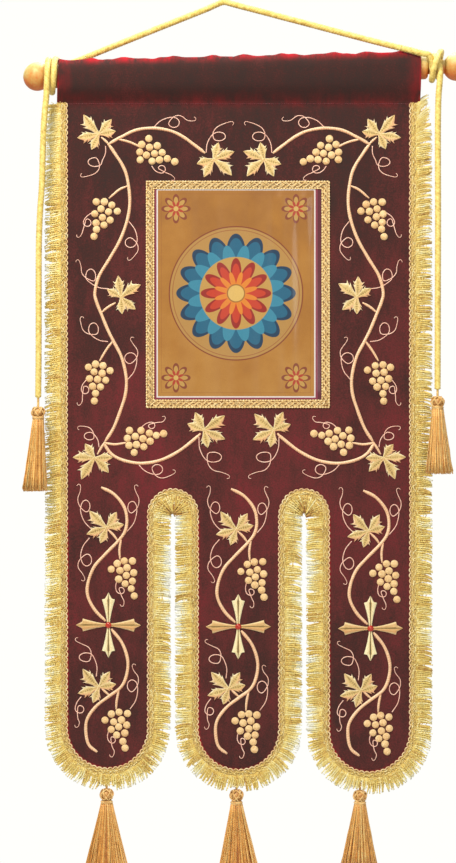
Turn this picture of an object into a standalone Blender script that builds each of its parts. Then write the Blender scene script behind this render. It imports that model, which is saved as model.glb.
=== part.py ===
"""A church banner: dark red velvet on a gilt rod, hung by a gold cord.

Metres, +Z up. The front faces -Y. The origin is the underside of the cord
at its highest bend, where a hook holds it.
"""
import math
import random

import bmesh
import bpy
from mathutils import Vector

MM = 0.001

# Driving sizes of the cloth
BANNER_X = 0.0261
LAPPET_RADIUS = 0.0911
SLOT_RADIUS = 0.0268
LAPPET_PITCH = 2 * (LAPPET_RADIUS + SLOT_RADIUS)
HALF_WIDTH = LAPPET_PITCH + LAPPET_RADIUS
SEAM_Z = -0.1764
ARCH_SPRING_Z = -0.9162
LAPPET_CENTRE_Z = -1.3041
LAPPET_STEP_Z = -0.0032
CLOTH_THICKNESS = 0.0025
SEWN_GAP = 0.0006
TOUCH_GAP = 0.0003

# Rod and balls
ROD_RADIUS = 0.0215
ROD_Z = -0.1201
ROD_SLOPE = 0.0238
ROD_LEFT_X = -0.3180
ROD_RIGHT_X = 0.3962
NECK_LEFT_X = 0.3668
NECK_RADIUS = 0.0125
BALL_RADIUS = 0.0256
BALL_LEFT_X = -0.3357
BALL_RIGHT_X = 0.4194

# Sleeve
SLEEVE_RADIUS = 0.0226
PUCKER_HEIGHT = 0.0065
PUCKER_PITCH = 0.071
SLEEVE_SIDE = 0.80
SEAM_INSIDE = 0.004
SLEEVE_PULL = 0.0045
SLEEVE_PULL_REACH = 0.08

# Fringe and braid
BRAID_WIDTH = 0.020
BRAID_THICKNESS = 0.002
STRAND_LENGTH = 0.022
ARCH_STRAND_LENGTH = 0.0185
FRINGE_TOP_Z = SEAM_Z
TIP_SHARE = 0.62
TIP_THICKNESS = 0.0004
TIP_STRAY = 0.0012
TASSEL_CLEARANCE = 0.020
TASSEL_SHARE = 0.50

# Picture panel and its braid
PICTURE_CENTRE_X = -0.0011 + BANNER_X
PICTURE_CENTRE_Z = -0.5211
PICTURE_WIDTH = 0.3000
PICTURE_HEIGHT = 0.3780
PICTURE_THICKNESS = 0.0015
PICTURE_BRAID_WIDTH = 0.015
PICTURE_BRAID_THICKNESS = 0.0022

# Cord
CORD_RADIUS = 0.0055
CORD_STEP = 0.036

# Needlework
NEEDLEWORK_HEIGHT = 0.0022
VINE_WIDTH = 0.0066
GRAPE_PITCH = 0.0128
MIRROR_X = 0.0270

random.seed(11)


def start_clean():
    """Remove what the file already holds."""
    for item in list(bpy.data.objects):
        bpy.data.objects.remove(item, do_unlink=True)


def material(name, colour, roughness, metallic=0.0):
    """A plain Principled material."""
    made = bpy.data.materials.get(name)
    if made is None:
        made = bpy.data.materials.new(name)
        made.use_nodes = True
        shader = made.node_tree.nodes["Principled BSDF"]
        shader.inputs["Base Color"].default_value = (*colour, 1.0)
        shader.inputs["Roughness"].default_value = roughness
        shader.inputs["Metallic"].default_value = metallic
    return made


VELVET = ("velvet", (0.075, 0.012, 0.018), 0.85)
GILT = ("gilt wood", (0.72, 0.38, 0.12), 0.35)
CORD_GOLD = ("cord gold", (0.78, 0.55, 0.16), 0.6)
FRINGE_GOLD = ("fringe gold", (0.76, 0.62, 0.25), 0.6)
TASSEL_GOLD = ("tassel gold", (0.66, 0.30, 0.08), 0.6)
BRAID_GOLD = ("braid gold", (0.68, 0.45, 0.14), 0.5)
PRINT = ("printed picture", (0.62, 0.38, 0.16), 0.3)
STITCH_GOLD = ("stitched gold", (0.80, 0.58, 0.30), 0.55)
STITCH_CREAM = ("stitched cream gold", (0.78, 0.62, 0.32), 0.55)
STONE_RED = ("red stone", (0.50, 0.03, 0.02), 0.15)


def add_object(name, mesh_data, look):
    """Link a mesh or a curve to the scene under its node's name."""
    made = bpy.data.objects.new(name, mesh_data)
    mesh_data.materials.append(material(*look))
    bpy.context.scene.collection.objects.link(made)
    return made


def mesh_object(name, shape, look, smooth=True):
    """Close a bmesh into an object with its faces out."""
    bmesh.ops.recalc_face_normals(shape, faces=shape.faces[:])
    data = bpy.data.meshes.new(name)
    shape.to_mesh(data)
    shape.free()
    if smooth:
        data.shade_smooth()
        data.set_sharp_from_angle(angle=math.radians(40))
    return add_object(name, data, look)


def ease(value, low, high):
    """0 below low, 1 above high, and smooth between."""
    t = min(1.0, max(0.0, (value - low) / (high - low)))
    return t * t * (3 - 2 * t)


def fold(x, z):
    """How far the hanging cloth stands back from the plane y = 0."""
    u = x - BANNER_X
    depth = SEAM_Z - z
    grown = ease(depth, 0.0, 0.30) * (1 + 0.35 * ease(depth, 0.75, 1.2))
    beside = ease(abs(u), 0.14, 0.26)
    off_height = ease(abs(z - PICTURE_CENTRE_Z), 0.17, 0.30)
    stiff = 0.35 + 0.65 * max(beside, off_height)
    broad = 0.0034 * math.sin(2 * math.pi * u / 0.300 + 0.6 + 0.5 * depth)
    narrow = 0.0004 * math.sin(2 * math.pi * u / 0.118 + 1.9 - 0.8 * depth)
    return grown * stiff * (broad + narrow)


def on_cloth(x, z, height=0.0):
    """A point in front of the cloth, at a height over what is sewn on it."""
    front = fold(x, z) - CLOTH_THICKNESS / 2 - SEWN_GAP
    return Vector((x, front - height, z))


def rod_centre_z(x):
    """Height of the sloping rod's centre line."""
    return ROD_Z + ROD_SLOPE * (x - BANNER_X)


def round_rod(x, angle, radius):
    """A point round the rod: 90 is the top, 180 the front, 270 the bottom."""
    turn = math.radians(angle)
    return Vector((x, radius * math.cos(turn), rod_centre_z(x) + radius * math.sin(turn)))


def rim_edges(faces):
    """The edges that one face alone uses, in that face's order."""
    count = {}
    for face in faces:
        for first, second in zip(face, face[1:] + face[:1]):
            key = frozenset((first, second))
            count.setdefault(key, []).append((first, second))
    return [used[0] for used in count.values() if len(used) == 1]


def thick_sheet(shape, front, back, faces, open_edges=()):
    """Front and back faces on two sets of points, and the rim between."""
    closed = {frozenset(edge) for edge in open_edges}
    for face in faces:
        shape.faces.new([front[key] for key in face])
        shape.faces.new([back[key] for key in reversed(face)])
    for first, second in rim_edges(faces):
        if frozenset((first, second)) not in closed:
            shape.faces.new((front[first], back[first], back[second], front[second]))


# The velvet cloth

LAPPET_CELLS = 10
SLOT_CELLS = 6
BODY_ROWS = 8
LAPPET_ROWS = 5
LAPPETS = (("left", -1), ("middle", 0), ("right", 1))


def lappet_centre(step):
    """Centre of a lappet's round end."""
    x = BANNER_X + step * LAPPET_PITCH
    return x, LAPPET_CENTRE_Z + step * LAPPET_STEP_Z


def cloth_columns():
    """Column lines of the cloth: x, waist height, lowest height and lappet."""
    columns = []
    for _name, step in LAPPETS:
        centre_x, centre_z = lappet_centre(step)
        for k in range(LAPPET_CELLS + 1):
            turn = math.pi * (k / LAPPET_CELLS - 0.5)
            x = centre_x + LAPPET_RADIUS * math.sin(turn)
            lowest = centre_z - LAPPET_RADIUS * math.cos(turn)
            columns.append((x, ARCH_SPRING_Z, lowest, step))
        if step < 1:
            slot_x = centre_x + LAPPET_PITCH / 2
            for k in range(1, SLOT_CELLS):
                turn = math.pi * k / SLOT_CELLS
                x = slot_x - SLOT_RADIUS * math.cos(turn)
                waist = ARCH_SPRING_Z + SLOT_RADIUS * math.sin(turn)
                columns.append((x, waist, waist, None))
    return columns


def pucker(x):
    """Uneven gathers along the top of the sleeve."""
    u = x - BANNER_X
    sway = 0.9 * math.sin(2 * math.pi * u / 0.27 + 0.4)
    return PUCKER_HEIGHT * (0.5 + 0.5 * math.sin(2 * math.pi * u / PUCKER_PITCH + sway))


def sleeve_section(x):
    """Inner and outer points of the sleeve, from the front seam to the back seam."""
    half = CLOTH_THICKNESS / 2
    middle_z = rod_centre_z(x)
    inner = [(0.0, SEAM_Z + SEAM_INSIDE)]
    outer = [(-half, SEAM_Z)]
    side_z = 0.5 * (middle_z + SEAM_Z)
    side_y = SLEEVE_SIDE * SLEEVE_RADIUS
    inner.append((-side_y, side_z))
    outer.append((-side_y - CLOTH_THICKNESS, side_z))
    for angle in range(180, -1, -30):
        turn = math.radians(angle)
        lift = pucker(x) * math.sin(turn) ** 2
        for points, radius in ((inner, SLEEVE_RADIUS), (outer, SLEEVE_RADIUS + CLOTH_THICKNESS)):
            reach = radius + lift
            points.append((reach * math.cos(turn), middle_z + reach * math.sin(turn)))
    inner.append((side_y, side_z))
    outer.append((side_y + CLOTH_THICKNESS, side_z))
    outer.append((half, SEAM_Z))
    return inner, outer


def sleeve_pull(x, rank, ranks):
    """The cord's turn draws the sleeve's left end in at its top."""
    near = 1 - ease(x - (BANNER_X - HALF_WIDTH), 0.0, SLEEVE_PULL_REACH)
    return SLEEVE_PULL * near * math.sin(math.pi * rank / ranks)


def add_sleeve(shape, columns, front, back):
    """The sleeve over the rod: an outer skin, an inner skin and two open ends."""
    rings = []
    for i, column in enumerate(columns):
        x = column[0]
        inner, outer = sleeve_section(x)
        ranks = len(outer) - 1
        skin = [front[(i, 0)]]
        for rank in range(1, ranks):
            y, z = outer[rank]
            skin.append(shape.verts.new((x + sleeve_pull(x, rank, ranks), y, z)))
        skin.append(back[(i, 0)])
        lining = []
        for rank, (y, z) in enumerate(inner):
            lining.append(shape.verts.new((x + sleeve_pull(x, rank, ranks), y, z)))
        lining.append(lining[0])
        rings.append((skin, lining))
    for (skin, lining), (next_skin, next_lining) in zip(rings, rings[1:]):
        for rank in range(ranks):
            shape.faces.new((skin[rank], skin[rank + 1], next_skin[rank + 1], next_skin[rank]))
            shape.faces.new((lining[rank], next_lining[rank], next_lining[rank + 1], lining[rank + 1]))
    for skin, lining in (rings[0], rings[-1]):
        for rank in range(ranks):
            shape.faces.new((skin[rank], lining[rank], lining[rank + 1], skin[rank + 1]))
        shape.faces.new((skin[0], skin[-1], lining[0]))


def velvet_banner():
    """The cloth: sleeve, body, slots and lappets in one solid."""
    columns = cloth_columns()
    shape = bmesh.new()
    front = {}
    back = {}
    rows = BODY_ROWS + LAPPET_ROWS
    for i, (x, waist, lowest, _lappet) in enumerate(columns):
        for j in range(rows + 1):
            if j <= BODY_ROWS:
                z = SEAM_Z + (waist - SEAM_Z) * j / BODY_ROWS
            else:
                z = waist + (lowest - waist) * (j - BODY_ROWS) / LAPPET_ROWS
            if j > BODY_ROWS and lowest == waist:
                break
            y = fold(x, z)
            front[(i, j)] = shape.verts.new((x, y - CLOTH_THICKNESS / 2, z))
            back[(i, j)] = shape.verts.new((x, y + CLOTH_THICKNESS / 2, z))
    faces = []
    for i in range(len(columns) - 1):
        in_lappet = columns[i][3] is not None and columns[i][3] == columns[i + 1][3]
        for j in range(rows if in_lappet else BODY_ROWS):
            faces.append([(i, j), (i + 1, j), (i + 1, j + 1), (i, j + 1)])
    seam = [((i, 0), (i + 1, 0)) for i in range(len(columns) - 1)]
    thick_sheet(shape, front, back, faces, open_edges=seam)
    add_sleeve(shape, columns, front, back)
    mesh_object("velvet_banner", shape, VELVET)


# Rod and balls

def turned(name, profile, sides, look):
    """A solid turned about the rod's centre line from rows of x and radius."""
    shape = bmesh.new()
    rings = []
    for x, radius in profile:
        if radius == 0:
            rings.append([shape.verts.new(round_rod(x, 0, 0))])
        else:
            ring = [shape.verts.new(round_rod(x, 360 * k / sides, radius)) for k in range(sides)]
            rings.append(ring)
    for ring, following in zip(rings, rings[1:]):
        for k in range(sides):
            corners = [ring[k % len(ring)], ring[(k + 1) % len(ring)]]
            corners += [following[(k + 1) % len(following)], following[k % len(following)]]
            shape.faces.new(list(dict.fromkeys(corners)))
    for ring in (rings[0], rings[-1]):
        if len(ring) > 1:
            shape.faces.new(ring)
    return mesh_object(name, shape, look)


def rod():
    """The rod, with the neck that holds the right-hand hitch."""
    shoulder = 0.002
    profile = (
        (ROD_LEFT_X, ROD_RADIUS - shoulder),
        (ROD_LEFT_X + shoulder, ROD_RADIUS),
        (NECK_LEFT_X - 2 * shoulder, ROD_RADIUS),
        (NECK_LEFT_X - shoulder / 2, ROD_RADIUS - shoulder),
        (NECK_LEFT_X, ROD_RADIUS - 3 * shoulder),
        (NECK_LEFT_X, NECK_RADIUS),
        (ROD_RIGHT_X, NECK_RADIUS),
    )
    turned("rod", profile, 24, GILT)


def ball(name, centre_x, face_x, sides=18, rings=8):
    """A ball whose side is cut flat where it meets the rod's end."""
    inward = 1 if face_x > centre_x else -1
    flat_angle = math.acos(abs(face_x - centre_x) / BALL_RADIUS)
    profile = []
    for k in range(rings + 1):
        angle = flat_angle + (math.pi - flat_angle) * k / rings
        radius = 0 if k == rings else BALL_RADIUS * math.sin(angle)
        profile.append((centre_x + inward * BALL_RADIUS * math.cos(angle), radius))
    turned(name, profile, sides, GILT)


# Fringe

LAPPET_TASSEL_X = (-0.2115, 0.0225, 0.2448)


def outline_pieces():
    """Stretches of the cloth's edge, from the left seam round to the right seam.

    Each is its number of locks, its strand length and a function of 0 to 1
    that gives a point on the edge and the direction out of the cloth.
    """
    def straight(x, start_z, end_z, outward):
        return lambda t: ((x, start_z + (end_z - start_z) * t), (outward, 0.0))

    def bow(centre, radius, start, end, outward):
        def at(t):
            turn = math.radians(start + (end - start) * t)
            away = (math.cos(turn), math.sin(turn))
            spot = (centre[0] + radius * away[0], centre[1] + radius * away[1])
            return spot, (outward * away[0], outward * away[1])
        return at

    left_x = BANNER_X - HALF_WIDTH
    right_x = BANNER_X + HALF_WIDTH
    pieces = [(52, STRAND_LENGTH, straight(left_x, FRINGE_TOP_Z, lappet_centre(-1)[1], -1))]
    for _name, step in LAPPETS:
        centre = lappet_centre(step)
        pieces.append((13, STRAND_LENGTH, bow(centre, LAPPET_RADIUS, 180, 360, 1)))
        if step < 1:
            edge_x = centre[0] + LAPPET_RADIUS
            next_x = edge_x + 2 * SLOT_RADIUS
            arch = (edge_x + SLOT_RADIUS, ARCH_SPRING_Z)
            next_z = lappet_centre(step + 1)[1]
            pieces.append((18, STRAND_LENGTH, straight(edge_x, centre[1], ARCH_SPRING_Z, 1)))
            pieces.append((5, ARCH_STRAND_LENGTH, bow(arch, SLOT_RADIUS, 180, 0, -1)))
            pieces.append((18, STRAND_LENGTH, straight(next_x, ARCH_SPRING_Z, next_z, -1)))
    pieces.append((52, STRAND_LENGTH, straight(right_x, lappet_centre(1)[1], FRINGE_TOP_Z, 1)))
    return pieces


def fringe_stations():
    """Points between the locks: edge point, outward direction, strand length."""
    stations = []
    for locks, length, at in outline_pieces():
        for k in range(locks):
            spot, outward = at(k / locks)
            stations.append((spot, outward, length))
    spot, outward = at(1.0)
    stations.append((spot, outward, length))
    return stations


def lock_length(x, z, length):
    """Uneven strand ends, shorter where a lappet's tassel hangs."""
    share = random.uniform(0.90, 1.0)
    for _name, step in LAPPETS:
        if z < lappet_centre(step)[1] and abs(x - LAPPET_TASSEL_X[step + 1]) < TASSEL_CLEARANCE:
            share = TASSEL_SHARE
    return share * length


def fringe():
    """Braid on the cloth's edge with locks of strands standing out from it."""
    shape = bmesh.new()
    sections = []
    stations = fringe_stations()
    for (x, z), (out_x, out_z), _length in stations:
        inner_x = x - BRAID_WIDTH * out_x
        inner_z = z - BRAID_WIDTH * out_z
        corners = [on_cloth(x, z, BRAID_THICKNESS), on_cloth(x, z)]
        corners += [on_cloth(inner_x, inner_z), on_cloth(inner_x, inner_z, BRAID_THICKNESS)]
        sections.append([shape.verts.new(corner) for corner in corners])
    for k, (near, far) in enumerate(zip(sections, sections[1:])):
        for side in (1, 2, 3):
            following = (side + 1) % 4
            shape.faces.new((near[side], near[following], far[following], far[side]))
        add_lock(shape, near, far, stations[k], stations[k + 1])
    shape.faces.new(sections[0])
    shape.faces.new(sections[-1])
    mesh_object("fringe", shape, FRINGE_GOLD, smooth=False)


def add_lock(shape, near, far, station, following):
    """One lock: four sides from the open edge of the braid to a narrower tip."""
    (x, z), (out_x, out_z), length = station
    (next_x, next_z), (next_out_x, next_out_z), _next_length = following
    reach = lock_length(0.5 * (x + next_x), 0.5 * (z + next_z), length)
    sway = random.uniform(-TIP_STRAY, TIP_STRAY)
    slant = random.uniform(-TIP_STRAY, TIP_STRAY)
    start = Vector((x + reach * out_x, 0, z + reach * out_z))
    end = Vector((next_x + reach * next_out_x, 0, next_z + reach * next_out_z))
    middle = 0.5 * (start + end)
    along = (end - start).normalized()
    tips = []
    for corner, root in ((start, near), (end, far)):
        place = middle + TIP_SHARE * (corner - middle) + slant * along
        for rank, depth in ((0, TIP_THICKNESS / 2), (1, -TIP_THICKNESS / 2)):
            tips.append(shape.verts.new((place.x, root[rank].co.y + sway + depth, place.z)))
    roots = (near[0], near[1], far[1], far[0])
    ends = (tips[0], tips[1], tips[3], tips[2])
    for k in range(4):
        n = (k + 1) % 4
        shape.faces.new((roots[k], roots[n], ends[n], ends[k]))
    shape.faces.new(ends)


# Tassels

TASSEL_COLUMNS = ("name", "neck_z", "head_z", "skirt_z", "end_z", "x", "end_dx", "end_radius")
CORD_TASSELS = (
    ("tassel_cord_left", -0.7064, -0.7335, -0.7450, -0.8750, -0.3321, -0.0065, 0.0225),
    ("tassel_cord_right", -0.6920, -0.7146, -0.7262, -0.8440, 0.3818, 0.0029, 0.0245),
)
LAPPET_TASSELS = (
    ("tassel_lappet_left", -1.3760, -1.4220, -1.4370, -1.5690, LAPPET_TASSEL_X[0], 0.0, 0.0430),
    ("tassel_lappet_middle", -1.3790, -1.4238, -1.4385, -1.5710, LAPPET_TASSEL_X[1], 0.004, 0.0395),
    ("tassel_lappet_right", -1.3780, -1.4238, -1.4375, -1.5520, LAPPET_TASSEL_X[2], -0.002, 0.0330),
)
CORD_TAIL_Y = -0.028
TASSEL_HEAD_RADIUS = 0.0132
TASSEL_HEAD_SQUASH = 0.90
TASSEL_NECK_RADIUS = 0.0022
SKIRT_TOP_RADIUS = 0.0098
SKIRT_CORE_SHARE = 0.45
SKIRT_LOCKS = 14
SKIRT_UNEVEN = 0.005
FREE_SKIRT_DEPTH = 0.80
BACKED_SKIRT_DEPTH = 0.62
# place within the lock's step and share of the skirt's radius
LOCK_TIP = ((0.14, 1.0), (0.86, 1.0), (0.78, 0.62), (0.22, 0.62))


def behind_lappet(row):
    """Where a tassel's neck touches the back of its lappet."""
    neck_z = row[TASSEL_COLUMNS.index("neck_z")]
    x = row[TASSEL_COLUMNS.index("x")]
    cloth_back = max(fold(x, z) for z in (neck_z, LAPPET_CENTRE_Z - LAPPET_RADIUS))
    return cloth_back + CLOTH_THICKNESS / 2 + SEWN_GAP + TASSEL_NECK_RADIUS


def tassel(name, neck_z, head_z, skirt_z, end_z, x, end_dx, end_radius, y):
    """Neck, round head and a skirt of locks that stand apart below it."""
    sides = SKIRT_LOCKS
    drop = TASSEL_HEAD_RADIUS * TASSEL_HEAD_SQUASH
    profile = [(neck_z, TASSEL_NECK_RADIUS), (head_z + drop * 1.02, TASSEL_NECK_RADIUS)]
    for angle in (60, 30, 0, -30):
        turn = math.radians(angle)
        profile.append((head_z + drop * math.sin(turn), TASSEL_HEAD_RADIUS * math.cos(turn)))
    profile.append((skirt_z, SKIRT_TOP_RADIUS))
    shape = bmesh.new()

    def ring(z, radius, shift=0.0):
        made = []
        for k in range(sides):
            turn = 2 * math.pi * k / sides
            spot = (x + shift + radius * math.cos(turn), y + radius * math.sin(turn), z)
            made.append(shape.verts.new(spot))
        return made

    rings = [ring(z, radius) for z, radius in profile]
    for upper, lower in zip(rings, rings[1:]):
        for k in range(sides):
            n = (k + 1) % sides
            shape.faces.new((upper[k], upper[n], lower[n], lower[k]))
    shape.faces.new(rings[0])
    core = ring(skirt_z, SKIRT_TOP_RADIUS * SKIRT_CORE_SHARE)
    shape.faces.new(core)
    depth_share = BACKED_SKIRT_DEPTH if y > 0 else FREE_SKIRT_DEPTH
    for k in range(sides):
        n = (k + 1) % sides
        roots = (rings[-1][k], rings[-1][n], core[n], core[k])
        tip_z = end_z + random.uniform(0.0, SKIRT_UNEVEN)
        tips = []
        for step, share in LOCK_TIP:
            turn = 2 * math.pi * (k + step) / sides
            tip_x = x + end_dx + end_radius * share * math.cos(turn)
            tip_y = y + end_radius * depth_share * share * math.sin(turn)
            tips.append(shape.verts.new((tip_x, tip_y, tip_z)))
        for side in range(4):
            following = (side + 1) % 4
            shape.faces.new((roots[side], roots[following], tips[following], tips[side]))
        shape.faces.new(tips)
    mesh_object(name, shape, TASSEL_GOLD)


# Cord

# the stretch over the hook: x, y, z in mm
CORD_TOP_ROUTE = (
    (-250.0, 31.0, -88.9), (-225.0, 27.0, -79.6), (-200.0, 23.0, -70.2),
    (-165.0, 18.5, -57.0), (-130.0, 14.0, -43.8), (-95.0, 10.0, -30.6), (-60.0, 6.0, -17.4),
    (-30.0, 3.0, -6.0), (-13.0, 1.2, 1.4), (0.0, 0.0, 5.5), (14.0, -0.8, 2.0),
    (32.0, -1.8, -3.0), (62.0, -3.2, -11.0), (100.0, -4.8, -21.4), (140.0, -6.4, -32.2),
    (180.0, -8.0, -43.1), (220.0, -9.5, -54.0), (260.0, -11.2, -64.9), (295.0, -13.5, -74.2),
    (318.0, -17.5, -80.5),
)
LEFT_LEAD = ((-250.0, 31.0, -88.9), (-268.0, 33.8, -95.5), (-284.0, 34.5, -100.5))
RIGHT_LEAD = ((318.0, -17.5, -80.5), (336.0, -21.2, -85.6), (353.0, -26.5, -91.5))

# turns round the rod: x in mm, angle in degrees, radius in mm
LEFT_TURN = (
    (-294.5, 41, 40.5), (-300.5, 66, 34.0), (-303.2, 98, 29.4), (-303.6, 138, 29.0),
    (-304.2, 178, 29.0), (-306.0, 218, 29.0), (-308.6, 258, 29.0), (-310.8, 298, 29.0),
    (-312.6, 338, 29.0), (-313.8, 378, 29.0), (-314.8, 418, 29.0), (-315.2, 458, 29.0),
    (-315.4, 498, 29.1), (-315.6, 526, 29.2),
)
# x, y, z in mm
LEFT_TAIL = (
    (-315.8, -29.6, -129.5), (-316.6, -30.2, -150.0), (-317.5, -30.0, -171.0),
    (-321.0, -30.0, -207.0), (-323.6, -29.4, -261.0), (-325.2, -29.0, -324.0),
    (-328.8, -28.5, -378.0), (-330.8, -28.0, -430.0), (-331.2, -28.0, -500.0),
    (-331.2, -28.0, -570.0), (-331.4, -28.0, -640.0), (-331.8, -28.0, -680.0),
    (-332.1, -28.0, -705.8),
)
RIGHT_TURN = (
    (366.0, 146, 32.0), (372.8, 164, 23.0), (373.0, 194, 19.8), (378.8, 226, 19.6),
    (386.6, 260, 19.6), (389.2, 298, 19.6), (389.4, 338, 19.6), (389.6, 378, 19.6),
    (389.8, 418, 19.8), (390.0, 454, 22.6), (388.8, 484, 29.8), (384.0, 510, 32.4),
    (377.6, 536, 32.6), (373.6, 564, 32.4), (372.8, 594, 30.0), (374.2, 626, 23.0),
    (376.4, 662, 19.8), (377.0, 702, 19.6), (377.2, 742, 19.6), (377.3, 782, 19.6),
    (377.4, 818, 19.6), (380.0, 850, 19.6), (385.0, 882, 19.6),
)
RIGHT_TAIL = (
    (386.6, -21.6, -119.0), (386.6, -25.8, -127.5), (385.6, -27.6, -144.0),
    (383.4, -28.0, -171.0), (382.4, -28.0, -225.0), (382.4, -28.0, -290.0),
    (382.6, -28.0, -350.0), (382.6, -28.0, -420.0), (382.4, -28.0, -490.0),
    (382.2, -28.0, -560.0), (382.0, -28.0, -630.0), (381.8, -28.0, -691.4),
)


def spots(rows):
    """Route rows in millimetres as points."""
    return [Vector(row) * MM for row in rows]


def turn_spots(rows):
    """Rows of a turn round the rod as points."""
    return [round_rod(x * MM, angle, radius * MM) for x, angle, radius in rows]


def smooth_route(points, step):
    """Points read from a smooth curve through the route's own points."""
    ends = [2 * points[0] - points[1]] + points + [2 * points[-1] - points[-2]]
    made = []
    for before, start, end, after in zip(ends, ends[1:], ends[2:], ends[3:]):
        pieces = max(1, round((end - start).length / step))
        for k in range(pieces):
            t = k / pieces
            made.append(0.5 * (2 * start + (end - before) * t
                               + (2 * before - 5 * start + 4 * end - after) * t * t
                               + (3 * start - before - 3 * end + after) * t * t * t))
    made.append(points[-1])
    return made


def cord(name, points):
    """A round cord along its route."""
    data = bpy.data.curves.new(name, "CURVE")
    data.dimensions = "3D"
    data.bevel_depth = CORD_RADIUS
    data.bevel_resolution = 2
    data.use_fill_caps = True
    places = smooth_route(points, CORD_STEP)
    spline = data.splines.new("POLY")
    spline.points.add(len(places) - 1)
    for point, place in zip(spline.points, places):
        point.co = (*place, 1.0)
    spline.use_smooth = True
    add_object(name, data, CORD_GOLD)


def part_ends(points, following):
    """Open the gap where one stretch of cord starts at another's end."""
    along = (following[1] - following[0]).normalized()
    points[0] = following[0] - 3 * TOUCH_GAP * along


def cords():
    """The left tail and turn, the stretch over the hook, the hitch and right tail."""
    left = spots(LEFT_LEAD) + turn_spots(LEFT_TURN) + spots(LEFT_TAIL)
    top = spots(CORD_TOP_ROUTE)
    right = spots(RIGHT_LEAD) + turn_spots(RIGHT_TURN) + spots(RIGHT_TAIL)
    part_ends(left, top)
    part_ends(right, top[::-1])
    cord("cord_left", left)
    cord("cord_top", top)
    cord("cord_right", right)


# Picture

def sheet_grid(name, left, right, bottom, top, cells, rows, thickness, look):
    """A thin panel that follows the cloth."""
    shape = bmesh.new()
    front = {}
    back = {}
    for i in range(cells + 1):
        for j in range(rows + 1):
            x = left + (right - left) * i / cells
            z = bottom + (top - bottom) * j / rows
            front[(i, j)] = shape.verts.new(on_cloth(x, z, thickness))
            back[(i, j)] = shape.verts.new(on_cloth(x, z))
    faces = []
    for i in range(cells):
        for j in range(rows):
            faces.append([(i, j), (i + 1, j), (i + 1, j + 1), (i, j + 1)])
    thick_sheet(shape, front, back, faces)
    mesh_object(name, shape, look)


def picture():
    """The printed panel and the braid round it."""
    half_width = PICTURE_WIDTH / 2
    half_height = PICTURE_HEIGHT / 2
    left = PICTURE_CENTRE_X - half_width
    right = PICTURE_CENTRE_X + half_width
    bottom = PICTURE_CENTRE_Z - half_height
    top = PICTURE_CENTRE_Z + half_height
    sheet_grid("picture_panel", left, right, bottom, top, 13, 4, PICTURE_THICKNESS, PRINT)
    picture_braid(half_width + TOUCH_GAP, half_height + TOUCH_GAP)


def picture_braid(half_width, half_height):
    """One length of braid round the panel: its ends meet at the lower left corner."""
    corners = ((-1, -1), (-1, 1), (1, 1), (1, -1), (-1, -1))
    cells = (5, 13, 5, 13)
    sections = []
    for side in range(4):
        start = corners[side]
        end = corners[side + 1]
        for k in range(cells[side] + (side == 3)):
            t = k / cells[side]
            row = []
            for extra in (0.0, PICTURE_BRAID_WIDTH):
                wide = half_width + extra
                high = half_height + extra
                x = PICTURE_CENTRE_X + wide * (start[0] + (end[0] - start[0]) * t)
                z = PICTURE_CENTRE_Z + high * (start[1] + (end[1] - start[1]) * t)
                row.append((x, z))
            sections.append(row)
    sections[0] = [(x, z + TOUCH_GAP) for x, z in sections[0]]
    sections[-1] = [(x + TOUCH_GAP, z) for x, z in sections[-1]]
    shape = bmesh.new()
    rings = []
    for (inner, outer) in sections:
        places = [on_cloth(*inner), on_cloth(*inner, PICTURE_BRAID_THICKNESS)]
        places += [on_cloth(*outer, PICTURE_BRAID_THICKNESS), on_cloth(*outer)]
        rings.append([shape.verts.new(place) for place in places])
    for near, far in zip(rings, rings[1:]):
        for side in range(4):
            following = (side + 1) % 4
            shape.faces.new((near[side], near[following], far[following], far[side]))
    shape.faces.new(rings[0])
    shape.faces.new(rings[-1])
    mesh_object("picture_braid", shape, BRAID_GOLD)


# Needlework on the velvet

# side of the mirror line, then centre x and z, size and turn of the tip, in mm and degrees
SCROLL_LEAVES = (
    (-223.5, -232.0, 43.0, 131), (-15.5, -280.5, 34.0, -35), (-186.0, -524.0, 37.0, 54),
    (-232.0, -818.0, 38.0, 245), (-31.0, -764.0, 33.0, 36),
)
# top centre x and z, and the way the tip points
SCROLL_BUNCHES = (
    (-133.0, -252.0, -42), (-212.0, -352.0, -112), (-230.0, -652.0, -97), (-166.0, -792.0, 12),
)
# x and z in mm
SCROLL_VINE = (
    (-34.0, -267.0), (-51.0, -254.0), (-73.0, -238.5), (-101.0, -227.0), (-124.0, -223.5),
    (-146.0, -224.5), (-172.0, -234.0), (-190.0, -252.0), (-183.0, -283.0), (-173.0, -311.0),
    (-169.0, -349.0), (-173.0, -383.0), (-186.0, -421.0), (-205.0, -455.0), (-225.0, -488.0),
    (-232.5, -517.0), (-230.0, -533.0), (-221.0, -556.0), (-209.0, -585.0), (-198.0, -607.0),
    (-184.0, -635.0), (-174.5, -670.0), (-176.5, -688.0), (-185.5, -731.0), (-198.0, -767.0),
    (-212.0, -797.0), (-191.0, -814.0), (-162.0, -823.0), (-133.0, -823.0), (-111.5, -815.0),
    (-77.0, -799.0), (-50.0, -779.0),
)

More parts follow.
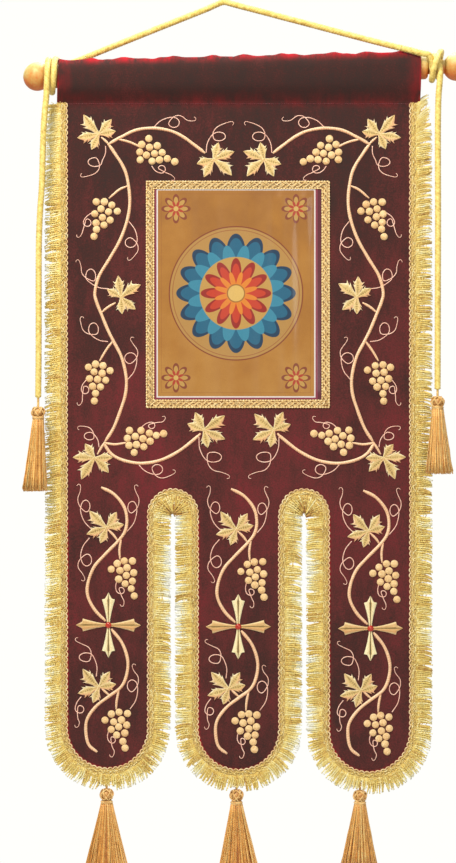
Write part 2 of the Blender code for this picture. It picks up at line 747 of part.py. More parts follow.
# the same on a lappet, from the middle of its cross
LAPPET_CROSS_Z = -1.1191
LAPPET_CROSS_X = (-0.2081, 0.0256, 0.2635)
LAPPET_CROSS_STEP_Z = -0.0029
UPPER_STEM = (
    (-13.0, 248.0), (10.0, 235.5), (28.0, 213.5), (33.5, 190.0), (30.0, 168.5), (17.0, 150.5),
    (-6.0, 127.0), (-26.0, 104.0), (-37.0, 75.0), (-37.0, 51.5), (-24.5, 27.0), (-12.0, 14.0),
)
LOWER_STEM = (
    (12.0, -14.0), (26.0, -33.0), (35.0, -63.5), (32.5, -91.5), (22.5, -112.0), (1.0, -128.5),
    (-22.0, -146.5), (-38.5, -170.0), (-40.5, -195.0), (-35.0, -216.5), (-20.0, -229.0),
)
LAPPET_LEAVES = (("upper", -3.0, 177.0, 34.0, 160), ("lower", -19.0, -108.5, 33.0, 128))
LAPPET_BUNCHES = (("upper", 28.0, 113.0, -66), ("lower", 16.0, -157.0, -66))
BUNCH_ROWS = (3, 4, 3, 2, 1)

# tip's share of the leaf's size and its angle from the leaf's own tip
LEAF_LOBES = ((1.0, 0), (0.86, 66), (0.76, 122), (0.76, -122), (0.86, -66))
LEAF_NOTCH = 0.26
LEAF_SHOULDER = 0.62
LEAF_SHOULDER_ANGLE = 15


def leaf(name, centre, size, tip_angle, mirrored=False):
    """A five-lobed vine leaf, raised in its middle."""
    lobes = sorted(LEAF_LOBES, key=lambda lobe: lobe[1] % 360)
    outline = []
    for k, (share, angle) in enumerate(lobes):
        following = lobes[(k + 1) % len(lobes)][1] % 360
        ahead = (following - angle) % 360
        for turn, reach in ((angle - LEAF_SHOULDER_ANGLE, LEAF_SHOULDER * share),
                            (angle, share),
                            (angle + LEAF_SHOULDER_ANGLE, LEAF_SHOULDER * share),
                            (angle + ahead / 2, LEAF_NOTCH)):
            outline.append((math.radians(turn + tip_angle), reach * size))
    places = []
    for turn, reach in outline:
        across = math.cos(turn) * reach * (-1 if mirrored else 1)
        places.append((centre[0] + across, centre[1] + math.sin(turn) * reach))
    raised_patch(name, centre, places, STITCH_CREAM)


def raised_patch(name, centre, outline, look):
    """A flat-backed patch with a thin rim that rises to its centre point."""
    shape = bmesh.new()
    top = shape.verts.new(on_cloth(*centre, NEEDLEWORK_HEIGHT))
    rim = 0.5 * NEEDLEWORK_HEIGHT
    front = [shape.verts.new(on_cloth(x, z, rim)) for x, z in outline]
    back = [shape.verts.new(on_cloth(x, z)) for x, z in outline]
    for k in range(len(outline)):
        n = (k + 1) % len(outline)
        shape.faces.new((front[k], front[n], top))
        shape.faces.new((front[k], back[k], back[n], front[n]))
    shape.faces.new(list(reversed(back)))
    mesh_object(name, shape, look, smooth=False)


def bunch(name, head, tip_angle, mirrored=False):
    """A bunch of grapes: rows of raised cells, each grape one cell."""
    turn = math.radians(tip_angle)
    mirror = -1 if mirrored else 1
    radius = GRAPE_PITCH / math.sqrt(3)
    shape = bmesh.new()
    points = {}

    def corner(across, down, height):
        key = (round(across / radius, 2), round(down / radius, 2), height)
        if key not in points:
            x = head[0] + mirror * (down * math.cos(turn) - across * math.sin(turn))
            z = head[1] + down * math.sin(turn) + across * math.cos(turn)
            points[key] = shape.verts.new(on_cloth(x, z, height))
        return points[key]

    faces = []
    rim = 0.35 * NEEDLEWORK_HEIGHT
    for rank, count in enumerate(BUNCH_ROWS):
        down = 1.5 * radius * rank
        for k in range(count):
            across = GRAPE_PITCH * (k - (count - 1) / 2)
            cell = []
            for side in range(6):
                angle = math.radians(60 * side + 30)
                cell.append((across + radius * math.cos(angle), down + radius * math.sin(angle)))
            middle = corner(across, down, NEEDLEWORK_HEIGHT)
            tops = [corner(*place, rim) for place in cell]
            for side in range(6):
                shape.faces.new((tops[side], tops[(side + 1) % 6], middle))
            keys = [(round(a / radius, 2), round(d / radius, 2)) for a, d in cell]
            shape.faces.new([corner(*place, 0.0) for place in reversed(cell)])
            faces.append(keys)
    for first, second in rim_edges(faces):
        low = [points[(*key, 0.0)] for key in (first, second)]
        high = [points[(*key, rim)] for key in (first, second)]
        shape.faces.new((low[0], low[1], high[1], high[0]))
    mesh_object(name, shape, STITCH_CREAM, smooth=False)


def vine(name, rows, middle, mirrored=False):
    """A padded stem: a flat back and a raised ridge along a smooth line."""
    mirror = -1 if mirrored else 1
    places = [Vector((middle[0] + mirror * x * MM, 0, middle[1] + z * MM)) for x, z in rows]
    line = smooth_route(places, 0.016)
    shape = bmesh.new()
    rings = []
    for k, place in enumerate(line):
        along = (line[min(k + 1, len(line) - 1)] - line[max(k - 1, 0)]).normalized()
        across = Vector((-along.z, 0, along.x)) * (VINE_WIDTH / 2)
        sides = [place - across, place + across]
        ring = [shape.verts.new(on_cloth(side.x, side.z)) for side in sides]
        ring.append(shape.verts.new(on_cloth(place.x, place.z, NEEDLEWORK_HEIGHT)))
        rings.append(ring)
    for near, far in zip(rings, rings[1:]):
        for side in range(3):
            following = (side + 1) % 3
            shape.faces.new((near[side], near[following], far[following], far[side]))
    shape.faces.new(rings[0])
    shape.faces.new(rings[-1])
    mesh_object(name, shape, STITCH_GOLD, smooth=False)


def scrolls():
    """The vine scroll on the left of the picture and its mirror image."""
    for side, mirrored in (("left", False), ("right", True)):
        mirror = -1 if mirrored else 1
        middle = 2 * MIRROR_X if mirrored else 0.0
        vine("vine_" + side, SCROLL_VINE, (middle, 0.0), mirrored)
        for k, (x, z, size, angle) in enumerate(SCROLL_LEAVES, 1):
            centre = (middle + mirror * x * MM, z * MM)
            leaf(f"leaf_{side}_{k}", centre, size * MM, angle, mirrored)
        for k, (x, z, angle) in enumerate(SCROLL_BUNCHES, 1):
            head = (middle + mirror * x * MM, z * MM)
            bunch(f"bunch_{side}_{k}", head, angle, mirrored)


CROSS_REACH = 0.0585
CROSS_SHOULDER = 0.0460
CROSS_SHOULDER_HALF = 0.0115
CROSS_WAIST = 0.022
CROSS_WAIST_HALF = 0.0040
CROSS_HUB = 0.0060
CROSS_RIDGE_START = 0.0110
CROSS_LIFT = 0.0003
CROSS_HEIGHT = 0.0020
STONE_RADIUS = 0.0055
STONE_HEIGHT = 0.0036
# height in metres and share of the radius
STONE_PROFILE = ((0.0, 1.0), (0.0016, 0.92), (0.0030, 0.60))


def cross(name, centre):
    """Four arms that flare to barbed, pointed ends, with a ridge along each."""
    shape = bmesh.new()

    def place(along, across, turn, height):
        x = centre[0] + along * math.cos(turn) - across * math.sin(turn)
        z = centre[1] + along * math.sin(turn) + across * math.cos(turn)
        return shape.verts.new(on_cloth(x, z, CROSS_LIFT + height))

    arms = [math.pi / 2 * k for k in range(4)]
    heights = (0.0, CROSS_HEIGHT)
    hubs = [[place(CROSS_HUB, CROSS_HUB, turn, h) for h in heights] for turn in arms]
    arm = (("waist", CROSS_WAIST, CROSS_WAIST_HALF), ("barb", CROSS_SHOULDER, CROSS_SHOULDER_HALF))
    ridge = (CROSS_WAIST, CROSS_SHOULDER)
    centre_top = place(0, 0, 0, CROSS_HEIGHT)
    outline = []
    for k, turn in enumerate(arms):
        sides = {}
        for key, along, across in arm:
            for sign in (-1, 1):
                sides[(key, sign)] = [place(along, sign * across, turn, h) for h in heights]
        tip = [place(CROSS_REACH, 0, turn, h) for h in heights]
        root = place(CROSS_RIDGE_START, 0, turn, CROSS_HEIGHT)
        ridges = [place(along, 0, turn, 1.5 * CROSS_HEIGHT) for along in ridge]
        for sign, hub in ((-1, hubs[k - 1]), (1, hubs[k])):
            waist = sides[("waist", sign)][1]
            barb = sides[("barb", sign)][1]
            shape.faces.new((centre_top, hub[1], root))
            shape.faces.new((hub[1], waist, ridges[0], root))
            shape.faces.new((waist, barb, ridges[1], ridges[0]))
            shape.faces.new((barb, tip[1], ridges[1]))
        outline += [hubs[k - 1], sides[("waist", -1)], sides[("barb", -1)], tip]
        outline += [sides[("barb", 1)], sides[("waist", 1)]]
    for first, second in zip(outline, outline[1:] + outline[:1]):
        shape.faces.new((first[0], second[0], second[1], first[1]))
    shape.faces.new([pair[0] for pair in reversed(outline)])
    mesh_object(name, shape, STITCH_GOLD, smooth=False)


def stone(name, centre):
    """A low round red stone on the middle of a cross."""
    shape = bmesh.new()
    sides = 10
    seat = CROSS_LIFT + CROSS_HEIGHT + TOUCH_GAP
    rings = []
    for height, radius in STONE_PROFILE:
        ring = []
        for k in range(sides):
            turn = 2 * math.pi * k / sides
            x = centre[0] + STONE_RADIUS * radius * math.cos(turn)
            z = centre[1] + STONE_RADIUS * radius * math.sin(turn)
            ring.append(shape.verts.new(on_cloth(x, z, seat + height)))
        rings.append(ring)
    top = shape.verts.new(on_cloth(*centre, seat + STONE_HEIGHT))
    for near, far in zip(rings, rings[1:]):
        for k in range(sides):
            n = (k + 1) % sides
            shape.faces.new((near[k], near[n], far[n], far[k]))
    for k in range(sides):
        shape.faces.new((rings[-1][k], rings[-1][(k + 1) % sides], top))
    shape.faces.new(rings[0])
    mesh_object(name, shape, STONE_RED)


def lappet_needlework():
    """On each lappet a cross with its stone, and a stem above and below it."""
    for (name, step), x in zip(LAPPETS, LAPPET_CROSS_X):
        middle = (x, LAPPET_CROSS_Z + step * LAPPET_CROSS_STEP_Z)
        cross("cross_" + name, middle)
        stone("stone_" + name, middle)
        vine(f"stem_{name}_upper", UPPER_STEM, middle)
        vine(f"stem_{name}_lower", LOWER_STEM, middle)
        for part, dx, dz, size, angle in LAPPET_LEAVES:
            centre = (middle[0] + dx * MM, middle[1] + dz * MM)
            leaf(f"leaf_{name}_{part}", centre, size * MM, angle)
        for part, dx, dz, angle in LAPPET_BUNCHES:
            head = (middle[0] + dx * MM, middle[1] + dz * MM)
            bunch(f"bunch_{name}_{part}", head, angle)


def build():
    """Make every piece."""
    start_clean()
    velvet_banner()
    rod()
    ball("ball_left", BALL_LEFT_X, ROD_LEFT_X - TOUCH_GAP)
    ball("ball_right", BALL_RIGHT_X, ROD_RIGHT_X + TOUCH_GAP)
    cords()
    fringe()
    for row in CORD_TASSELS:
        tassel(*row, y=CORD_TAIL_Y)
    for row in LAPPET_TASSELS:
        tassel(*row, y=behind_lappet(row))
    picture()
    scrolls()
    lappet_needlework()


build()
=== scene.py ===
import math

import bmesh
import bpy
import numpy as np
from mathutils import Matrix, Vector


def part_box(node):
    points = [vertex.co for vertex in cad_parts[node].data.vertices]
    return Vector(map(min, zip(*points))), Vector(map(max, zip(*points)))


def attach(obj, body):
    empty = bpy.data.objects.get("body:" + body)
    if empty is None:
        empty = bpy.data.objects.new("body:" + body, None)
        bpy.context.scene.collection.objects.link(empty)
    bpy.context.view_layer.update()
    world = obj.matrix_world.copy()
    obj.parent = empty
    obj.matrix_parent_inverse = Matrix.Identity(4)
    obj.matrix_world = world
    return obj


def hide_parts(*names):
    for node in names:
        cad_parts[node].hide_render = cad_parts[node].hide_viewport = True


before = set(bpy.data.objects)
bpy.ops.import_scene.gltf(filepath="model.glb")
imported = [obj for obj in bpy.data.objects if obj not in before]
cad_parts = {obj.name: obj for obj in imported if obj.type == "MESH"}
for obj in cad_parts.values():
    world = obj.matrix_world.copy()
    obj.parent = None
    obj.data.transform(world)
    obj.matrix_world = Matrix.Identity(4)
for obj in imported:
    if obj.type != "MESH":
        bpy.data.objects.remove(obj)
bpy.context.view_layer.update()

# The looks of a church banner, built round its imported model.
# Metres, +Z up, and the front faces -Y. The tables of the cords, the edge braid,
# the needlework and the picture's braid are in millimetres.

MM = 0.001
TAU = 2 * math.pi

# Driving sizes, the same as the model's
BANNER_X = 0.0261
LAPPET_RADIUS = 0.0911
SLOT_RADIUS = 0.0268
LAPPET_PITCH = 2 * (LAPPET_RADIUS + SLOT_RADIUS)
HALF_WIDTH = LAPPET_PITCH + LAPPET_RADIUS
SEAM_Z = -0.1764
ARCH_SPRING_Z = -0.9162
LAPPET_CENTRE_Z = -1.3041
LAPPET_STEP_Z = -0.0032
CLOTH_THICKNESS = 0.0025
ROD_RADIUS = 0.0215
ROD_Z = -0.1201
ROD_SLOPE = 0.0238
NECK_RADIUS = 0.0125
NECK_LEFT_X = 0.3668
BALL_RADIUS = 0.0256
SLEEVE_RADIUS = 0.0226
SLEEVE_PULL = 0.0045
PUCKER_HEIGHT = 0.0065
PUCKER_PITCH = 0.071
BRAID_WIDTH = 0.020
STRAND_LENGTH = 0.022
ARCH_STRAND_LENGTH = 0.0185
PICTURE_CENTRE_X = BANNER_X - 0.0011
PICTURE_CENTRE_Z = -0.5211
PICTURE_WIDTH = 0.3000
PICTURE_HEIGHT = 0.3780
CORD_RADIUS = 0.0055
MIRROR_X = 0.0270
LAPPETS = (("left", -1), ("middle", 0), ("right", 1))

# Depths of the cloth's folds, gathers and creases, and how far apart they lie
BROAD_FOLD = 0.0034
BROAD_FOLD_PITCH = 0.300
NARROW_FOLD = 0.0004
NARROW_FOLD_PITCH = 0.118
GATHER = 0.0007
GATHER_PITCH = 0.023
GATHER_REACH = 0.028
UPRIGHT_CREASE = 0.00035
LEVEL_CREASE = 0.00030

# Camera, from the photograph's frame
PIXEL = 0.0018
PHOTO_WIDTH = 456
PHOTO_HEIGHT = 863
PHOTO_ORIGIN_X = 224
PHOTO_ORIGIN_Z = 5
CAMERA_DISTANCE = 4.0
SENSOR = 36.0


# Lines and surfaces

def unit(rows):
    """Rows of vectors, each made one long."""
    return rows / np.maximum(np.linalg.norm(rows, axis=-1, keepdims=True), 1e-12)


def ease(value, low, high):
    """0 below low, 1 above high, and smooth between."""
    t = np.clip((value - low) / (high - low), 0.0, 1.0)
    return t * t * (3 - 2 * t)


def fold(x, z):
    """How far the hanging cloth stands back from the plane y = 0."""
    u = x - BANNER_X
    depth = SEAM_Z - z
    grown = ease(depth, 0.0, 0.30) * (1 + 0.35 * ease(depth, 0.75, 1.2))
    beside = ease(np.abs(u), 0.14, 0.26)
    off_height = ease(np.abs(z - PICTURE_CENTRE_Z), 0.17, 0.30)
    stiff = 0.35 + 0.65 * np.maximum(beside, off_height)
    broad = BROAD_FOLD * np.sin(TAU * u / BROAD_FOLD_PITCH + 0.6 + 0.5 * depth)
    narrow = NARROW_FOLD * np.sin(TAU * u / NARROW_FOLD_PITCH + 1.9 - 0.8 * depth)
    return grown * stiff * (broad + narrow)


def wrinkle(x, z):
    """Gathers under the seam and the soft creases of a hung cloth."""
    depth = SEAM_Z - z
    gather = GATHER * np.exp(-np.abs(depth) / GATHER_REACH)
    gather = gather * np.sin(TAU * x / GATHER_PITCH + 1.4 * np.sin(TAU * x / 0.17))
    upright = UPRIGHT_CREASE * np.sin(TAU * (x / 0.062 + 0.22 * np.sin(5.0 * z)) + 0.7)
    level = LEVEL_CREASE * np.sin(TAU * (z / 0.19 + x / 0.55) + 2.0)
    return gather + ease(depth, 0.0, 0.12) * (upright + level)


def front(x, z, height=0.0):
    """Points in front of the cloth, at a height over its face."""
    x = np.asarray(x, float)
    z = np.asarray(z, float)
    y = fold(x, z) + wrinkle(x, z) - CLOTH_THICKNESS / 2 - height
    return np.stack(np.broadcast_arrays(x, y, z), axis=-1)


def rod_centre_z(x):
    """Height of the sloping rod's centre line."""
    return ROD_Z + ROD_SLOPE * (x - BANNER_X)


def smooth(points, step):
    """Points read from a smooth curve through a line's own points."""
    points = np.asarray(points, float)
    ends = np.vstack([2 * points[0] - points[1], points, 2 * points[-1] - points[-2]])
    made = []
    for before, start, end, after in zip(ends, ends[1:], ends[2:], ends[3:]):
        pieces = max(1, round(float(np.linalg.norm(end - start)) / step))
        t = (np.arange(pieces) / pieces)[:, None]
        made.append(0.5 * (2 * start + (end - before) * t
                           + (2 * before - 5 * start + 4 * end - after) * t ** 2
                           + (3 * start - before - 3 * end + after) * t ** 3))
    return np.vstack(made + [points[-1:]])


def lengths(points):
    """Distance along a line at each of its points."""
    steps = np.linalg.norm(np.diff(points, axis=-2), axis=-1)
    start = np.zeros(steps.shape[:-1] + (1,))
    return np.concatenate([start, np.cumsum(steps, axis=-1)], axis=-1)


def evenly(points, step):
    """The same line with its points evenly spaced."""
    run = lengths(points)
    places = np.linspace(0, run[-1], max(2, round(run[-1] / step)) + 1)
    return np.stack([np.interp(places, run, points[:, k]) for k in range(points.shape[1])], axis=1)


def soften(points, reach):
    """An evenly spaced line with its sharp turns rounded over a distance."""
    step = float(np.linalg.norm(points[1] - points[0]))
    half = max(1, round(reach / step / 2))
    weight = np.hanning(2 * half + 3)[1:-1]
    weight = weight / weight.sum()
    before = 2 * points[0] - points[half:0:-1]
    after = 2 * points[-1] - points[-2:-half - 2:-1]
    padded = np.vstack([before, points, after])
    return np.stack([np.convolve(column, weight, "valid") for column in padded.T], axis=1)


def bearing(turn):
    """Directions on a plane at given angles."""
    return np.stack([np.cos(turn), np.sin(turn)], axis=-1)


def laid(centre, along, across, turn, mirror=1):
    """Places along and across a direction from a centre on the cloth."""
    x = centre[0] + mirror * (along * math.cos(turn) - across * math.sin(turn))
    z = centre[1] + along * math.sin(turn) + across * math.cos(turn)
    return x, z


def circle(centre, wide, count, deep=None):
    """A level ring of points round a centre."""
    turn = TAU * np.arange(count) / count
    deep = wide if deep is None else deep
    return np.stack([centre[0] + wide * np.cos(turn), centre[1] + deep * np.sin(turn),
                     np.full(count, centre[2])], axis=1)


def drift(run, pitch, rng):
    """Random values from -1 to 1 that change slowly along a run."""
    spots = np.arange(0, run[-1] + 2 * pitch, pitch)
    return np.interp(run, spots, rng.uniform(-1, 1, len(spots)))


# where the painted light comes from: the tone round a thread is painted lighter on this side
LIT_FROM = np.array((-0.35, -0.10, 0.93))


class Shape:
    """Points, faces and values by point, gathered for one mesh."""

    def __init__(self):
        self.points = []
        self.values = []
        self.faces = []
        self.looks = []
        self.count = 0

    def add(self, points, faces, run=0.0, side=0.0, tone=0.5, look=0):
        """Add points, with faces as rows of their numbers."""
        points = np.asarray(points, float)
        shape = points.shape[:-1]
        values = [np.broadcast_to(value, shape).ravel() for value in (run, side, tone)]
        self.points.append(points.reshape(-1, 3))
        self.values.append(np.stack(values, axis=1))
        faces = np.asarray(faces) + self.count
        self.faces.append(faces)
        self.looks.append(np.full(len(faces), look))
        self.count += len(self.points[-1])

    def grid(self, points, run=0.0, side=0.0, tone=0.5, look=0, closed=False, turned=False):
        """Quads over a grid of points: rows, then columns."""
        rows, columns = points.shape[:2]
        index = np.arange(rows * columns).reshape(rows, columns)
        if closed:
            index = np.hstack([index, index[:, :1]])
        quads = np.stack([index[:-1, :-1], index[:-1, 1:], index[1:, 1:], index[1:, :-1]], axis=-1)
        quads = quads.reshape(-1, 4)
        if turned:
            quads = quads[:, ::-1]
        self.add(points, quads, run, side, tone, look)

    def sweep(self, paths, radius, sides, flat=1.0, tone=0.5, look=0, across=None, shade=0.0):
        """Tubes along lines of points, all of one count of points."""
        paths = np.asarray(paths, float)
        if paths.ndim == 2:
            paths = paths[None]
        count, size = paths.shape[:2]
        along = unit(np.gradient(paths, axis=1))
        if across is None:
            across = np.cross(along, (0.0, 1.0, 0.0))
        across = unit(across)
        lift = np.cross(across, along)
        turn = TAU * np.arange(sides) / sides
        radius = np.broadcast_to(radius, (count, size))[:, :, None, None]
        ring = across[:, :, None, :] * np.cos(turn)[:, None]
        ring = ring + flat * lift[:, :, None, :] * np.sin(turn)[:, None]
        points = paths[:, :, None, :] + radius * ring
        index = np.arange(count * size * sides).reshape(count, size, sides)
        index = np.concatenate([index, index[:, :, :1]], axis=2)
        quads = np.stack([index[:, :-1, :-1], index[:, :-1, 1:],
                          index[:, 1:, 1:], index[:, 1:, :-1]], axis=-1)
        run = lengths(paths)[:, :, None]
        tone = np.asarray(tone, float)
        # painted shade: the tone is made lighter on the side of the tube facing LIT_FROM, by the share
        # given as shade
        tone = tone.reshape(tone.shape + (1,) * (3 - tone.ndim)) + shade * (ring @ LIT_FROM)
        start = self.count
        self.add(points, quads.reshape(-1, 4), run, np.cos(turn), tone, look)
        caps = np.vstack([index[:, 0, -2::-1], index[:, -1, :-1]]) + start
        self.faces.append(caps)
        self.looks.append(np.full(len(caps), look))

    def make(self, name, looks, stands_for=None, sharp=None, weld=False):
        """The mesh as a piece of the object, in the place of a node of the model."""
        data = bpy.data.meshes.new(name)
        faces = [face for rows in self.faces for face in rows.tolist()]
        data.from_pydata(np.concatenate(self.points).tolist(), [], faces)
        values = np.concatenate(self.values)
        for column, key in enumerate(("run", "side", "tone")):
            held = data.attributes.new(key, "FLOAT", "POINT")
            held.data.foreach_set("value", values[:, column].astype(np.float32))
        for look in looks:
            data.materials.append(look)
        data.polygons.foreach_set("material_index", np.concatenate(self.looks).astype(np.int32))
        if weld:
            joined = bmesh.new()
            joined.from_mesh(data)
            bmesh.ops.remove_doubles(joined, verts=joined.verts, dist=0.00002)
            joined.to_mesh(data)
            joined.free()
        data.shade_smooth()
        if sharp is not None:
            data.set_sharp_from_angle(angle=math.radians(sharp))
        made = bpy.data.objects.new(name, data)
        bpy.context.scene.collection.objects.link(made)
        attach(made, "root")
        if stands_for:
            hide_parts(stands_for)
        return made


# Materials

class Look:
    """A node material, with short ways to add its nodes."""

    def __init__(self, name, sockets):
        self.material = bpy.data.materials.new(name)
        self.material.use_nodes = True
        self.tree = self.material.node_tree
        self.shader = self.tree.nodes["Principled BSDF"]
        for key, value in sockets.items():
            self.shader.inputs[key].default_value = value

    def feed(self, socket, value):
        """Link a socket, or set its value."""
        if isinstance(value, bpy.types.NodeSocket):
            self.tree.links.new(value, socket)
        else:
            socket.default_value = value

    def node(self, kind, inputs, **settings):
        """A node with its inputs fed."""
        made = self.tree.nodes.new(kind)
        for key, value in settings.items():
            setattr(made, key, value)
        for key, value in inputs.items():
            self.feed(made.inputs[key], value)
        return made

    def math(self, operation, *values):
        """One sum of numbers."""
        made = self.node("ShaderNodeMath", dict(enumerate(values)), operation=operation)
        return made.outputs[0]

    def plus(self, first, second):
        return self.math("ADD", first, second)

    def less(self, first, second):
        return self.math("SUBTRACT", first, second)

    def times(self, first, second):
        return self.math("MULTIPLY", first, second)

    def scaled(self, first, factor, more):
        """First times factor, plus more."""
        return self.math("MULTIPLY_ADD", first, factor, more)

    def larger(self, first, second):
        return self.math("MAXIMUM", first, second)

    def smaller(self, first, second):
        return self.math("MINIMUM", first, second)

    def value(self, name):
        """A number that the mesh holds at each point."""
        return self.node("ShaderNodeAttribute", {}, attribute_name=name).outputs["Fac"]

    def place(self, stretch=(1, 1, 1)):
        """The point in the object's own frame, stretched."""
        spot = self.node("ShaderNodeTexCoord", {}).outputs["Object"]
        scaled = self.node("ShaderNodeVectorMath", {0: spot, 1: stretch}, operation="MULTIPLY")
        return scaled.outputs[0]

    def axes(self):
        """The point's x, y and z."""
        return self.node("ShaderNodeSeparateXYZ", {0: self.place()}).outputs

    def noise(self, scale, detail=2.0, stretch=(1, 1, 1), roughness=0.5):
        """Soft noise by place."""
        inputs = {"Vector": self.place(stretch), "Scale": scale, "Detail": detail, "Roughness": roughness}
        return self.node("ShaderNodeTexNoise", inputs).outputs["Fac"]

    def wave(self, phase):
        """0 to 1 and back for each full turn of the phase."""
        return self.scaled(self.math("SINE", phase), 0.5, 0.5)

    def ramp(self, share, stops):
        """A colour from stops: rows of place, red, green and blue."""
        made = self.node("ShaderNodeValToRGB", {"Fac": share})
        bar = made.color_ramp.elements
        while len(bar) < len(stops):
            bar.new(0.5)
        for held, (spot, *colour) in zip(bar, stops):
            held.position = spot
            held.color = (*colour, 1.0)
        return made.outputs["Color"]

    def mix(self, share, first, second, blend="MIX"):
        """Two colours, mixed."""
        made = self.node("ShaderNodeMix", {}, data_type="RGBA", blend_type=blend)
        self.feed(made.inputs[0], share)
        for socket, value in ((made.inputs[6], first), (made.inputs[7], second)):
            self.feed(socket, value if isinstance(value, bpy.types.NodeSocket) else (*value, 1.0))
        return made.outputs[2]

    def finish(self, colour=None, height=None, distance=0.001, roughness=None):
        """Set the colour and bump, and give the material."""
        if colour is not None:
            self.feed(self.shader.inputs["Base Color"], colour)
        if roughness is not None:
            self.feed(self.shader.inputs["Roughness"], roughness)
        if height is not None:
            bump = self.node("ShaderNodeBump", {"Height": height, "Distance": distance, "Strength": 1.0})
            self.feed(self.shader.inputs["Normal"], bump.outputs[0])
        return self.material


def thread_look(name, pitch, ridge, slant, by_tone, grain, by_rib, painted_warm_shade, stops):
    """Thread or yarn: ribs along or across it, colour that varies from thread to thread with painted shade
    carried in its tone, and an orange-brown painted shade tint mixed in by the side value where one is
    given.
    """
    look = Look(name, {"Roughness": 0.45, "Sheen Weight": 0.25, "Sheen Roughness": 0.4})
    phase = look.times(look.value("run"), TAU / pitch)
    rib = look.wave(look.scaled(look.value("side"), slant, phase))
    speckle = look.scaled(look.noise(grain, 3.0), 2.0, -0.5)
    share = look.scaled(speckle, 1.0 - by_tone, look.times(look.value("tone"), by_tone))
    share = look.less(look.scaled(rib, by_rib, share), by_rib / 2)
    colour = look.ramp(share, stops)
    if painted_warm_shade is not None:
        colour = look.mix(look.value("side"), colour, painted_warm_shade)
    return look.finish(colour, rib, ridge)


def velvet_look():
    """Dark wine velvet: mottled pile, redder low down, with painted bright red sheen on the sleeve's crest,
    its ends and the seam, and in a thin line inside the braid.
    """
    sockets = {"Roughness": 0.85, "Specular IOR Level": 0.12, "Sheen Weight": 0.55,
               "Sheen Roughness": 0.36, "Sheen Tint": (1.0, 0.07, 0.06, 1.0)}
    look = Look("velvet pile", sockets)
    cloud = look.noise(11.0, 5.0, (1.0, 1.0, 0.7), 0.65)
    streak = look.noise(75.0, 3.0, (1.0, 1.0, 0.22), 0.6)
    grain = look.noise(420.0, 2.0)
    pile = look.noise(1100.0, 2.0)
    height = look.axes()[2]
    low = look.node("ShaderNodeMapRange", {0: height, 1: -0.15, 2: -0.80, 3: 0.11, 4: 0.255}).outputs[0]
    lowest = look.node("ShaderNodeMapRange", {0: height, 1: -0.90, 2: -1.20, 3: 0.0, 4: 0.060}).outputs[0]
    share = look.scaled(cloud, 0.44, look.less(low, lowest))
    share = look.scaled(streak, 0.15, share)
    share = look.scaled(grain, 0.32, share)
    share = look.less(share, 0.125)
    colour = look.ramp(share, ((0.36, 0.036, 0.021, 0.018), (0.47, 0.052, 0.020, 0.017),
                               (0.58, 0.102, 0.024, 0.022), (0.72, 0.175, 0.022, 0.027)))
    # painted sheen: bright red patches where the mesh's tone (its gleam) is high, broken up by noise
    comb = look.noise(210.0, 3.0, (1.0, 0.3, 0.20), 0.6)
    puff = look.noise(30.0, 4.0, (1.0, 0.4, 0.8), 0.6)
    painted_sheen = look.scaled(comb, 1.2, look.scaled(puff, 2.8, -1.50))
    painted_sheen = look.times(painted_sheen, look.value("tone"))
    # painted sheen: a thin bright red line about 19 mm in from the cloth's edge, strongest on the lappets'
    # left sides
    off_braid = look.math("DIVIDE", look.less(look.value("side"), 0.0190), 0.0018)
    line = look.math("EXPONENT", look.times(look.times(off_braid, off_braid), -1.0))
    left = look.scaled(look.value("run"), -0.42, 0.42)
    line = look.times(line, look.times(left, look.times(streak, 2.0)))
    red = look.smaller(look.larger(look.larger(painted_sheen, line), 0.0), 0.95)
    colour = look.mix(red, colour, (0.41, 0.007, 0.015))
    return look.finish(colour, look.scaled(pile, 0.6, streak), 0.0005)


def backing_look():
    """The cloth's woven back: fine crossed threads in dull wine."""
    look = Look("velvet back", {"Roughness": 0.8, "Sheen Weight": 0.3, "Sheen Roughness": 0.5,
                                "Sheen Tint": (0.9, 0.25, 0.25, 1.0)})
    x, _y, z = look.axes()
    warp = look.wave(look.times(x, TAU / 0.0011))
    weft = look.wave(look.times(z, TAU / 0.0011))
    weave = look.times(warp, weft)
    share = look.scaled(look.noise(22.0, 4.0), 0.8, look.times(weave, 0.2))
    colour = look.ramp(share, ((0.25, 0.075, 0.012, 0.016), (0.55, 0.135, 0.022, 0.030),
                               (0.80, 0.190, 0.035, 0.045)))
    return look.finish(colour, weave, 0.0003)


def gilt_look():
    """Gilding on turned wood: fine rings, worn patches and a soft satin shine, with a painted pale
    highlight on top and painted shade to orange below, from the tone.
    """
    look = Look("gilt wood", {"Roughness": 0.42, "Metallic": 0.10, "Coat Weight": 0.06,
                              "Coat Roughness": 0.45, "Specular IOR Level": 0.42})
    cloud = look.noise(38.0, 5.0, roughness=0.6)
    fine = look.noise(240.0, 3.0)
    rings = look.noise(700.0, 1.0, (1.0, 0.05, 0.05))
    share = look.scaled(fine, 0.25, look.times(cloud, 0.75))
    share = look.scaled(look.value("tone"), 0.54, look.less(share, 0.27))
    colour = look.ramp(share, ((0.30, 0.64, 0.17, 0.030), (0.44, 0.62, 0.30, 0.070),
                               (0.60, 0.62, 0.45, 0.145), (0.82, 0.82, 0.72, 0.34)))
    rough = look.scaled(cloud, 0.25, 0.36)
    height = look.scaled(rings, 0.5, look.times(fine, 0.5))
    return look.finish(colour, height, 0.0003, rough)


def stone_look():
    """A polished red stone with a little depth of colour."""
    look = Look("red stone", {"Roughness": 0.22, "Coat Weight": 0.25, "Coat Roughness": 0.12})
    colour = look.ramp(look.noise(420.0, 2.0), ((0.35, 0.36, 0.014, 0.006), (0.65, 0.56, 0.038, 0.010)))
    return look.finish(colour)


def floor_look():
    """A plain pale floor."""
    look = Look("pale floor", {"Roughness": 0.7})
    colour = look.ramp(look.noise(3.0, 3.0), ((0.3, 0.80, 0.80, 0.78), (0.7, 0.86, 0.86, 0.84)))
    return look.finish(colour)


